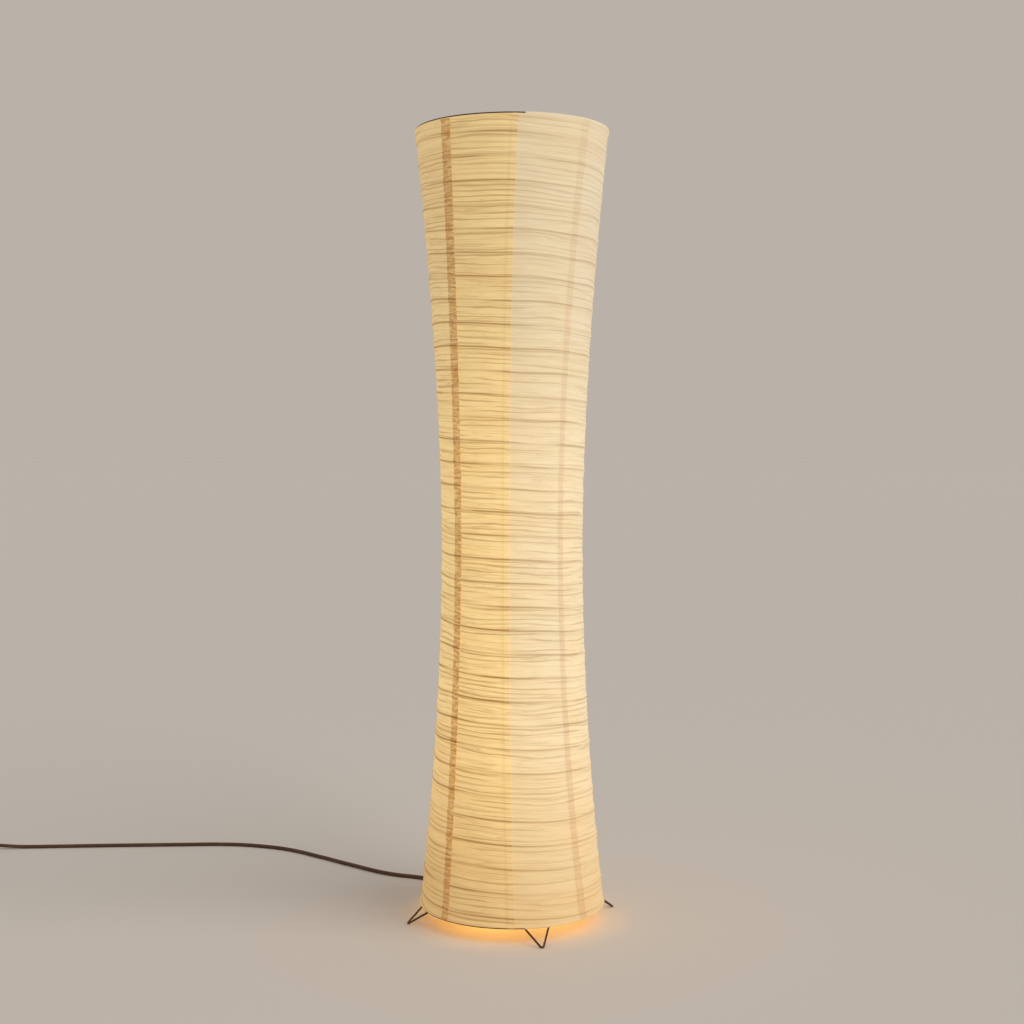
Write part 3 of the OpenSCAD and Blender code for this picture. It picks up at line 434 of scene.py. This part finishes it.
# How much the rib wire's painted shadow, the painted shade in the creases and the fibres darken the
# paper.
RIB_SHADOW_DARK, CREASE_SHADE_DARK, FIBRE_DARK = 0.84, 0.62, 0.3


def crease_group():
    """The rib wire's painted shadow on the paper and its ridge, irregular creases and fine fibres,
    from the sheet's own map.
    """
    group, given, out = new_group(
        "paper_creases",
        [("Sheet", VECTOR, None), ("Rib Phase", FLOAT, 0)],
        [("Rib Ridge And Shadow", FLOAT), ("Creases", FLOAT), ("Fibres", FLOAT), ("Patches", FLOAT),
         ("Height", FLOAT)])
    sheet = given["Sheet"]
    # distance from the nearest turn of rib wire, in millimetres
    turn = maths(group, "FRACT", given["Rib Phase"])
    nearer = maths(group, "MINIMUM", turn, maths(group, "SUBTRACT", 1, turn))
    away = times(group, nearer, RIB_PITCH)
    strength = ramped(group, sheet_noise(group, sheet, 7, 22), 0.36, 0.6, 0.4, 1)
    core = ramped(group, away, *RIB_CORE, 1, 0)
    halo = ramped(group, away, *RIB_HALO, HALO_STRENGTH, 0)
    rib_ridge_and_shadow = times(group, maths(group, "MAXIMUM", core, halo), strength)
    # creases between the ribs, each with its own strength, that wander and fade
    wanders = [maths(group, "MULTIPLY_ADD", sheet_noise(group, sheet, *scales), mm, -mm / 2)
               for scales, mm in CREASE_WANDERS]
    place = maths(group, "MULTIPLY_ADD", given["Rib Phase"], RIB_PITCH,
                  maths(group, "ADD", *wanders))
    across = shader_node(group, "ShaderNodeSeparateXYZ", {0: sheet}).outputs[0]
    lines = []
    for gap, start, full, half_width, weight in CREASE_SETS:
        count = maths(group, "DIVIDE", place, gap)
        own = shader_node(group, "ShaderNodeCombineXYZ", {
            0: times(group, across, 6),
            1: times(group, maths(group, "FLOOR", count), 7.31), 2: gap}).outputs[0]
        there = ramped(group, noise(group, own, 1, 2), start, full)
        from_middle = maths(group, "SUBTRACT", maths(group, "FRACT", count), 0.5)
        off = times(group, maths(group, "ABSOLUTE", from_middle), gap)
        line = ramped(group, off, 0.15, half_width, 1, 0)
        lines.append(times(group, times(group, line, there), weight))
    # a few thin ones that branch and close, where stretched noise crosses its middle
    field = noise(group, stretched(group, sheet, (6, 130, 3)), 1, 2, 0.45)
    off = maths(group, "ABSOLUTE", maths(group, "SUBTRACT", field, 0.5))
    branch = ramped(group, off, 0, BRANCH_WIDTH, BRANCH_STRENGTH, 0)
    fade = ramped(group, sheet_noise(group, sheet, 11, 60, 1), 0.44, 0.62)
    lines.append(times(group, branch, fade))
    creases = maths(group, "MAXIMUM", maths(group, "MAXIMUM", lines[0], lines[1]), lines[2])
    fibres = sheet_noise(group, sheet, 45, 620, 3, 0.6)
    patches = sheet_noise(group, sheet, 9, 16, 3, 0.55)
    height = maths(group, "ADD", times(group, rib_ridge_and_shadow, RIB_BUMP),
                   maths(group, "ADD", times(group, creases, CREASE_BUMP),
                         times(group, fibres, FIBRE_BUMP)))
    for label, value in (("Rib Ridge And Shadow", rib_ridge_and_shadow), ("Creases", creases), ("Fibres", fibres),
                         ("Patches", patches), ("Height", height)):
        group.links.new(value, out[label])
    return group


def paper_material():
    """Cream paper that glows from inside, with the rib wire's painted shadow, its creases with
    painted shade in them, fibres and brown double layers that are partly painted shade.
    """
    material, tree = new_material("creased_paper")
    sheet = shader_node(tree, "ShaderNodeUVMap", uv_map="sheet").outputs[0]
    facts = {name: shader_node(tree, "ShaderNodeAttribute", attribute_name=name).outputs["Fac"]
             for name in ("paleness", "lap", "wide_lap", "rib_phase", "glow", "creased", "warmth")}
    creases = shader_node(tree, "ShaderNodeGroup", {}, node_tree=crease_group())
    tree.links.new(sheet, creases.inputs["Sheet"])
    tree.links.new(facts["rib_phase"], creases.inputs["Rib Phase"])
    marks = creases.outputs
    fibre = times(tree, ramped(tree, marks["Fibres"], 0.5, 0.72), FIBRE_DARK)
    speckle = ramped(tree, sheet_noise(tree, sheet, 85, 260, 3, 0.65), 0.34, 0.66)
    # the rib wire's painted shadow and the painted shade in the creases, with the fibres, darken
    # the paper
    shade_and_fibre_mark = maths(tree, "MAXIMUM", times(tree, marks["Rib Ridge And Shadow"], RIB_SHADOW_DARK),
                 maths(tree, "MAXIMUM", times(tree, marks["Creases"], CREASE_SHADE_DARK), fibre))
    shade_and_fibre_mark = times(tree, shade_and_fibre_mark, facts["creased"])
    # the double layers of the laps are darker and speckled, and the closing one most of all: partly
    # painted shade, where two layers pass less of the bulbs' light, partly their own brown tone
    double = times(tree, facts["lap"], maths(tree, "MULTIPLY_ADD", speckle, 0.5, 0.65))
    brown = times(tree, facts["wide_lap"], maths(tree, "MULTIPLY_ADD", speckle, 0.9, 0.3))
    patch = ramped(tree, marks["Patches"], 0.35, 0.68)

    def layered(yellow, cream, warm, patchy, shade_and_fibre_tint, doubled, closing):
        """A sheet's own tone, from yellow to cream, multiplied by the tint of each of its marks,
        painted shadow and shade among them.
        """
        tone = mixed(tree, facts["paleness"], (*yellow, 1), (*cream, 1))
        for share, tint in ((facts["warmth"], warm), (times(tree, patch, 0.5), patchy),
                            (shade_and_fibre_mark, shade_and_fibre_tint), (double, doubled), (brown, closing)):
            tone = mixed(tree, share, tone, (*tint, 1), "MULTIPLY")
        return tone

    base = layered(yellow=(0.81, 0.66, 0.41), cream=(0.83, 0.73, 0.57), warm=(1.02, 0.93, 0.82),
                   patchy=(1.0, 0.92, 0.82), shade_and_fibre_tint=(0.5, 0.36, 0.22),
                   doubled=(0.94, 0.86, 0.82), closing=(0.8, 0.6, 0.41))
    glow = layered(yellow=(0.54, 0.36, 0.11), cream=(0.35, 0.27, 0.125), warm=(1.02, 0.93, 0.82),
                   patchy=(0.97, 0.93, 0.9), shade_and_fibre_tint=(0.32, 0.2, 0.1),
                   doubled=(0.8, 0.72, 0.7), closing=(0.6, 0.44, 0.3))
    strength = shader_node(tree, "ShaderNodeVectorMath", {0: glow, "Scale": facts["glow"]},
                           operation="SCALE").outputs[0]
    bumps = shader_node(tree, "ShaderNodeBump", {
        "Strength": 0.6, "Distance": 0.0006, "Height": marks["Height"]})
    body = shader_node(tree, "ShaderNodeBsdfPrincipled", {
        "Base Color": base, "Roughness": 0.85, "Specular IOR Level": 0.2,
        "Normal": bumps.outputs[0], "Emission Color": strength, "Emission Strength": 1.0})
    shader_node(tree, "ShaderNodeOutputMaterial", {"Surface": body.outputs[0]})
    return material


materials["paper"] = paper_material()

# ---- Paper sheets ----
# Paleness of each sheet, from a warm yellow one at 0 to a cream one at 1.
PALENESS = (0.0, 0.85, 1.0, 0.45, 0.15, 0.6, 0.3, 0.15)
# Angle of a seam by its share of the height, as a sum of powers, in degrees.
SEAM_LEAN = (2.4, -21, 23.8)
# How far each seam stands further round at the bottom, in degrees.
SEAM_PUSH = (0, 0.4, 3.4, -1, 0.8, -0.6, 1.2, -1.5, 0)
# The lap at the end of each sheet: its tone, its width at half height in millimetres, and how
# much wider it gets away from there. The last sheet's lap closes the shade: it is a brown band
# with a tone of its own, and gets wider towards the top.
# A lap's darker tone is partly painted shade: two layers pass less of the bulbs' light.
LAP_TONE = (0.05, 1, 0.7, 0.9, 0.5, 0.8, 0.6, 0)
LAP_W = (8.5, 8.5, 8.5, 8.5, 8.5, 8.5, 8.5, 15)
LAP_FLARE = (0, 25, 0, 0, 0, 0, 0, 0)
CLOSING_FLARE = 5
# The laps' tone at the bottom, as a factor, and how much of it is lost by the top.
LAP_TONE_LOW, LAP_TONE_FADE = 1.05, 0.6
# Degrees before and after a seam between which the sheet steps up by the lap's rise.
STEP_FROM, STEP_TO = 0.5, 0.1
LAP_RISE = 0.75
FRAY = 0.12
PAPER_T = 0.3
PAPER_INSET = 0.35
ROWS = 840
SHEET_COLUMNS, LAP_COLUMNS = 30, 6
# Angle between two faces, in radians, from which the edge between them stays sharp.
SHARP_EDGE = 1.0
# Relief in millimetres: over the rib wire, between its turns, two kinds of ripples, and where
# the sheet is folded round a ring.
RIDGE, RIDGE_SPREAD, HOLLOW = 0.5, 2.2, 0.75
FINE_RIPPLE, SOFT_RIPPLE = 0.16, 0.22
RING_BULGE = 1.04
# The glow of the whole paper, of each bulb and what the foot of the paper lacks; then the
# height and spread of each bulb's glow.
PAPER_GLOW, BULB_GLOW, FOOT_DIM = 0.68, 0.3, 0.22
BULBS = ((310, 190), (660, 230))
# Heights up to which the foot of the paper is dimmer, warmer and less pale.
DIM_H, WARM_H, LESS_PALE_H = 130, 230, 170
FOOT_LESS_PALE = 0.55
# How much yellower a sheet is at its start, up to which height, and over how much it fades.
YELLOWER, YELLOWER_H, YELLOWER_FADE_H = 0.35, 900, 300
# How much softer the marks are on the palest sheet at half height, and how much more at its ends.
SOFTER, SOFTER_ENDS = 0.36, 0.3
# How much stronger the marks, with their painted shadow and shade, are near the lower bulb, with
# the height and spread of this.
STRONGER, STRONGER_Z, STRONGER_SPREAD = 0.2, 350, 150


def hump(value, middle, spread):
    """1 at the middle, and smoothly down to 0 on both sides."""
    return np.exp(-((value - middle) / spread) ** 2)


def edge_distance(z):
    return np.minimum(z - SHEET_LOW, SHEET_HIGH - z)


def seam_angle(seam, height):
    """Angle of a seam, counted from 0, at a share of the paper's height: it leans both ways."""
    lean = SEAM_LEAN[0] + SEAM_LEAN[1] * height + SEAM_LEAN[2] * height**2
    return CLOSING_TURN + seam * GORE_ANGLE + lean + SEAM_PUSH[seam] * (1 - height)


def waves(seed, angle, z, count, turns, mm):
    """Smooth irregular waves over the sheet, between about -1 and 1."""
    rng = np.random.default_rng(seed)
    total = np.zeros_like(z)
    for _ in range(count):
        total += np.sin(angle * math.radians(1) * rng.uniform(*turns) + z / rng.uniform(*mm)
                        + rng.uniform(0, 6.28))
    return total / math.sqrt(count)


def rib_phase(angle, z):
    """Turns of rib wire below height z at this angle, with the wire's small wander."""
    wander = RIB_WANDER * waves(5, angle, z, 5, (2, 7), (40, 90))
    return (z + wander - RIB_LOW) / RIB_PITCH + angle / 360 + 2


def paper_relief(angle, z, phase):
    """How far the paper stands out of its smooth outline, in millimetres."""
    turn = phase % 1
    away = np.minimum(turn, 1 - turn) * RIB_PITCH
    ridge = RIDGE * hump(away, 0, RIDGE_SPREAD)
    hollow = -HOLLOW * np.sin(math.pi * turn) ** 0.8
    fine = FINE_RIPPLE * waves(11, angle, z, 7, (1, 9), (0.9, 2.2))
    fine *= 0.6 + 0.4 * waves(12, angle, z, 3, (3, 9), (8, 20))
    soft = SOFT_RIPPLE * waves(13, angle, z, 6, (2, 12), (4, 12))
    edge = edge_distance(z)
    over_ring = RING_BULGE * np.clip(1.6 - edge / 4, 0, 1)
    return (ridge + hollow + fine + soft) * np.clip((edge - 2) / 6, 0, 1) + over_ring


def set_facts(mesh, angle, z, paleness, lap, wide_lap):
    """The sheet's own map, in metres round and up, and what the paper's look reads per vertex."""
    corner = np.empty(len(mesh.loops), int)
    mesh.loops.foreach_get("vertex_index", corner)
    flat = np.stack([angle * math.radians(1) * WAIST_R * MM, z * MM], axis=1)[corner]
    mesh.uv_layers.new(name="sheet").data.foreach_set("uv", flat.ravel())
    bulbs = sum(hump(z, middle, spread) for middle, spread in BULBS)
    soften = paleness * (SOFTER + SOFTER_ENDS * (2 * z / TOTAL_H - 1) ** 2)
    # how strong the marks are, painted shadow and shade among them: faint at the edges, softer on
    # pale sheets, stronger near the lower bulb
    creased = (np.clip(0.25 + edge_distance(z) / 7, 0, 1) * (1 - soften)
               * (1 + STRONGER * hump(z, STRONGER_Z, STRONGER_SPREAD)))
    facts = {
        "paleness": paleness * (1 - FOOT_LESS_PALE * hump(z, 0, LESS_PALE_H)),
        "lap": lap, "wide_lap": wide_lap,
        "glow": PAPER_GLOW + BULB_GLOW * bulbs - FOOT_DIM * hump(z, 0, DIM_H),
        "warmth": hump(z, 0, WARM_H), "rib_phase": rib_phase(angle, z), "creased": creased}
    for name, values in facts.items():
        attribute = mesh.attributes.new(name, "FLOAT", "POINT")
        attribute.data.foreach_set("value", np.broadcast_to(values, z.shape).astype(np.float32))


def paper_sheet(number):
    """One sheet from its seam to the next, where it steps out and laps over its neighbour."""
    closing = number == GORES
    last = SHEET_COLUMNS + LAP_COLUMNS - 1
    name = "paper_sheet_%d" % number
    bm = bmesh.new()
    bmesh.ops.create_grid(bm, x_segments=last, y_segments=ROWS, size=0.5)
    grid = bpy.data.meshes.new(name)
    bm.to_mesh(grid)
    bm.free()
    places = vertex_places(grid)
    column = np.rint((places[:, 0] + 0.5) * last).astype(int)
    height = places[:, 1] + 0.5
    z = SHEET_LOW + height * (SHEET_HIGH - SHEET_LOW)
    on_lap = column >= SHEET_COLUMNS
    start, end = seam_angle(number - 1, height), seam_angle(number, height)
    lap_w = (LAP_W[number - 1] + LAP_FLARE[number - 1] * (height - 0.5)**2
             + CLOSING_FLARE * (height - 0.5) * closing)
    along = column / (SHEET_COLUMNS - 1)
    over = (column - SHEET_COLUMNS) / (LAP_COLUMNS - 1) * np.degrees(lap_w / paper_radius(z))
    angle = np.where(on_lap, end + STEP_TO + over, start + (end - STEP_FROM - start) * along)
    frayed = FRAY * np.where(column == last, waves(number, angle, z, 4, (0, 1), (3, 9)), 0)
    lift = np.where(on_lap, LAP_RISE, 0) + frayed
    r = paper_radius(z) - PAPER_INSET + paper_relief(angle, z, rib_phase(angle, z)) + lift
    a = np.radians(angle)
    shaped = np.stack([r * np.cos(a), r * np.sin(a), z], axis=1) * MM
    grid.vertices.foreach_set("co", shaped.ravel())
    yellower = (YELLOWER * np.clip(1 - along, 0, 1)
                * np.clip((YELLOWER_H - z) / YELLOWER_FADE_H, 0, 1))
    tone = LAP_TONE[number - 1] * (LAP_TONE_LOW - LAP_TONE_FADE * height)
    set_facts(grid, angle, z, paleness=PALENESS[number - 1] * (1 - yellower),
              lap=on_lap * tone, wide_lap=on_lap * closing)
    bm = bmesh.new()
    bm.from_mesh(grid)
    bpy.data.meshes.remove(grid)
    bmesh.ops.solidify(bm, geom=bm.faces, thickness=PAPER_T * MM)
    for edge in bm.edges:
        edge.smooth = edge.calc_face_angle(0) < SHARP_EDGE
    mesh = to_mesh(bm, name)
    mesh.materials.append(materials["paper"])
    piece = link(name, mesh, "shade", "paper", "paper_gore_%d" % number)
    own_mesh(piece)


for number in range(1, GORES + 1):
    paper_sheet(number)

BINDING_TURN = -98
BINDING_R = RING_WIRE_R + 0.3


def paper_binding(name, body, ring_r, ring_z):
    """Where the paler sheets are folded round a ring wire, as a rolled edge over half its turn."""
    bm = bmesh.new()
    bmesh.ops.create_circle(bm, segments=16, radius=BINDING_R * MM,
                            matrix=Matrix.Rotation(math.radians(BINDING_TURN), 4, "Z")
                            @ Matrix.Translation((ring_r * MM, 0, ring_z * MM))
                            @ Matrix.Rotation(math.pi / 2, 4, "X"))
    bmesh.ops.spin(bm, geom=bm.verts[:] + bm.edges[:], cent=(0, 0, 0), axis=(0, 0, 1),
                   angle=math.pi, steps=120)
    close_ends(bm)
    mesh = to_mesh(bm, name)
    x, y, z = vertex_places(mesh).T
    # lap=0.3 gives the rolled edge the laps' darker tone, partly painted shade
    set_facts(mesh, np.degrees(np.arctan2(y, x)), z / MM, paleness=1.0, lap=0.3, wide_lap=0)
    mesh.materials.append(materials["paper"])
    link(name, mesh, body, "paper")


paper_binding("top_binding", "shade", TOP_R - RING_WIRE_R, TOTAL_H - RING_WIRE_R)
paper_binding("bottom_binding", "hem", BOTTOM_R - RING_WIRE_R, BOTTOM_RING_Z)


# ---- Rib wire ----
RIB_STEPS = 64


def rib_wire():
    """One spiral, spun 1 m from the axis and then drawn in to the inside of the paper."""
    bm = bmesh.new()
    bmesh.ops.create_circle(
        bm, segments=8, radius=RIB_R * MM,
        matrix=Matrix.Translation((1, 0, 0)) @ Matrix.Rotation(math.pi / 2, 4, "X"))
    bmesh.ops.spin(bm, geom=bm.verts[:] + bm.edges[:], cent=(0, 0, 0), axis=(0, 0, 1),
                   dvec=(0, 0, -RIB_PITCH * MM / RIB_STEPS), angle=2 * math.pi * RIB_TURNS,
                   steps=RIB_STEPS * RIB_TURNS, use_merge=False, use_duplicate=False)
    close_ends(bm)
    mesh = to_mesh(bm, "rib_wire")
    places = vertex_places(mesh)
    places[:, 2] += RIB_HIGH * MM
    spun = np.hypot(places[:, 0], places[:, 1])
    r = (paper_radius(places[:, 2] / MM) - RIB_INSET) * MM + (spun - 1)
    places[:, :2] *= (r / spun)[:, None]
    mesh.vertices.foreach_set("co", places.ravel())
    mesh.update()
    mesh.materials.append(materials["dark_wire"])
    piece = link("rib_wire", mesh, "shade", "dark_wire", "rib_spiral")
    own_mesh(piece)


rib_wire()


# ---- Feet: hairpins of wire with a round bend on the floor, welded under the base ring ----
FOOT_REACH, FOOT_WIRE_R, FOOT_SLOPE, FOOT_HALF, FOOT_BEND_R = 162, 1.5, 35.5, 25.5, 3
FOOT_SIDES = 16
ARM_STEPS, BEND_STEPS = 12, 12
TIP_Z = 1.2
BASE_WIRE_R = 2
BASE_RING_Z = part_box("base_ring")[0].z / MM + BASE_WIRE_R
# The arms end this far before the middle of the base ring's wire.
ARM_END_GAP = 2.2
WELD_SIZE = (2.6, 2.6, 2.2)
WELD_WOBBLE = 0.07


def foot_wire(turn, name):
    """One foot, turned to its side of the lamp; returns the ends of its arms."""
    slope, half = math.radians(FOOT_SLOPE), math.radians(FOOT_HALF)
    to_bend = FOOT_BEND_R / math.sin(half)
    beyond = to_bend - FOOT_BEND_R
    run = (BASE_RING_Z - TIP_Z) / math.sin(slope) - ARM_END_GAP
    trim = FOOT_BEND_R / math.tan(half)
    arm = math.hypot(run + beyond, (run + beyond) * math.tan(half))
    along = [trim + (arm - trim) * k / ARM_STEPS for k in range(ARM_STEPS + 1)]
    one_arm, other_arm = [[(-beyond + d * math.cos(half), s * d * math.sin(half)) for d in along]
                          for s in (1, -1)]
    centre_x = -beyond + to_bend
    bend = [(centre_x - FOOT_BEND_R * math.cos(t), FOOT_BEND_R * math.sin(t))
            for t in np.linspace(math.pi / 2 - half, half - math.pi / 2, BEND_STEPS + 1)[1:-1]]
    turned = Matrix.Rotation(math.radians(turn), 4, "Z")
    path = [turned @ Vector((FOOT_REACH - x * math.cos(slope), -y, TIP_Z + x * math.sin(slope)))
            for x, y in one_arm[::-1] + bend + other_arm]
    bm = tube(path, [FOOT_WIRE_R] * len(path), FOOT_SIDES)
    # the small flat on which the bend stands
    bmesh.ops.bisect_plane(bm, geom=bm.verts[:] + bm.edges[:] + bm.faces[:], plane_co=(0, 0, 0),
                           plane_no=(0, 0, 1), clear_inner=True)
    close_ends(bm)
    mesh = to_mesh(bm, name)
    mesh.materials.append(materials["dark_wire"])
    link(name, mesh, "stand", "dark_wire", name.replace("wire", "foot"))
    return [path[0], path[-1]]


def weld_beads(name, places, size, body):
    """Small uneven beads where wires are welded together."""
    bm = bmesh.new()
    for i, place in enumerate(places):
        made = bmesh.ops.create_icosphere(
            bm, subdivisions=3, radius=1,
            matrix=Matrix.Translation(place * MM) @ Matrix.Diagonal((*(Vector(size) * MM), 1)))
        for v in made["verts"]:
            d = v.co - place * MM
            wobble = math.sin(d.x * 4100 + i) + math.sin(d.y * 3700 + 2 * i) + math.sin(d.z * 4600)
            v.co = place * MM + d * (1 + WELD_WOBBLE * wobble)
    mesh = to_mesh(bm, name)
    mesh.materials.append(materials["dark_wire"])
    link(name, mesh, body, "dark_wire")


arm_ends = []
for turn, name in ((180, "left_wire"), (-90, "front_wire"), (0, "right_wire"), (90, "back_wire")):
    arm_ends += foot_wire(turn, name)
weld_beads("foot_welds", arm_ends, WELD_SIZE, "stand")


# ---- Materials of the CAD pieces that stay, and of the cord and its sleeves ----
for part in frame["record"]["subparts"]:
    node = frame["nodes"][part["node"]]
    node.data.materials.clear()
    node.data.materials.append(materials[part["material_slot"]])
cord.data.materials.append(materials["brown_cord"])
for piece in (exit_relief, *switch_reliefs):
    piece.data.materials.append(materials["black_rubber"])


# ---- Floor, light and backdrop ----
FLOOR_R = 60
FLOOR_DROP = 0.0002
FLOOR_COLOUR = (0.8, 0.71, 0.62, 1)
BACKDROP_COLOUR = (0.49, 0.442, 0.392, 1)
AMBIENT_COLOUR, AMBIENT_STRENGTH = (0.93, 0.96, 1.0, 1), 0.43


def studio_floor():
    bm = bmesh.new()
    bmesh.ops.create_circle(bm, cap_ends=True, segments=96, radius=FLOOR_R)
    floor = bpy.data.objects.new("studio_floor", to_mesh(bm, "studio_floor"))
    floor.location.z = -FLOOR_DROP
    material, tree = new_material("studio_floor")
    body = shader_node(tree, "ShaderNodeBsdfPrincipled", {
        "Base Color": FLOOR_COLOUR, "Roughness": 0.8, "Specular IOR Level": 0.1})
    shader_node(tree, "ShaderNodeOutputMaterial", {"Surface": body.outputs[0]})
    floor.data.materials.append(material)
    bpy.context.scene.collection.objects.link(floor)


def studio_world():
    """Even light from all round, with a plain backdrop wherever it is seen or mirrored."""
    world = bpy.data.worlds.new("studio")
    bpy.context.scene.world = world
    world.use_nodes = True
    tree = world.node_tree
    tree.nodes.clear()
    rays = shader_node(tree, "ShaderNodeLightPath").outputs
    seen = maths(tree, "MAXIMUM", rays["Is Camera Ray"],
                 maths(tree, "MAXIMUM", rays["Is Glossy Ray"], rays["Is Transmission Ray"]))
    ambient = shader_node(tree, "ShaderNodeBackground", {
        "Color": AMBIENT_COLOUR, "Strength": AMBIENT_STRENGTH})
    backdrop = shader_node(tree, "ShaderNodeBackground", {
        "Color": BACKDROP_COLOUR, "Strength": 1.0})
    both = shader_node(tree, "ShaderNodeMixShader", {
        0: seen, 1: ambient.outputs[0], 2: backdrop.outputs[0]})
    shader_node(tree, "ShaderNodeOutputWorld", {"Surface": both.outputs[0]})


def add_light(name, kind, place, aim, colour, **settings):
    data = bpy.data.lights.new(name, kind)
    data.color = colour
    for key, value in settings.items():
        setattr(data, key, value)
    light = bpy.data.objects.new(name, data)
    light.location = place
    light.rotation_euler = (Vector(aim) - Vector(place)).to_track_quat("-Z", "Y").to_euler()
    bpy.context.scene.collection.objects.link(light)


studio_floor()
studio_world()
add_light("window_side", "SUN", (2.0, -2.3, 2.2), (0, 0, 0), (1.0, 0.98, 0.95),
          energy=1.15, angle=math.radians(55))
add_light("lamp_glow", "AREA", (0, 0, 0.075), (0, 0, 0), (1.0, 0.6, 0.18),
          shape="DISK", size=0.17, energy=0.22)
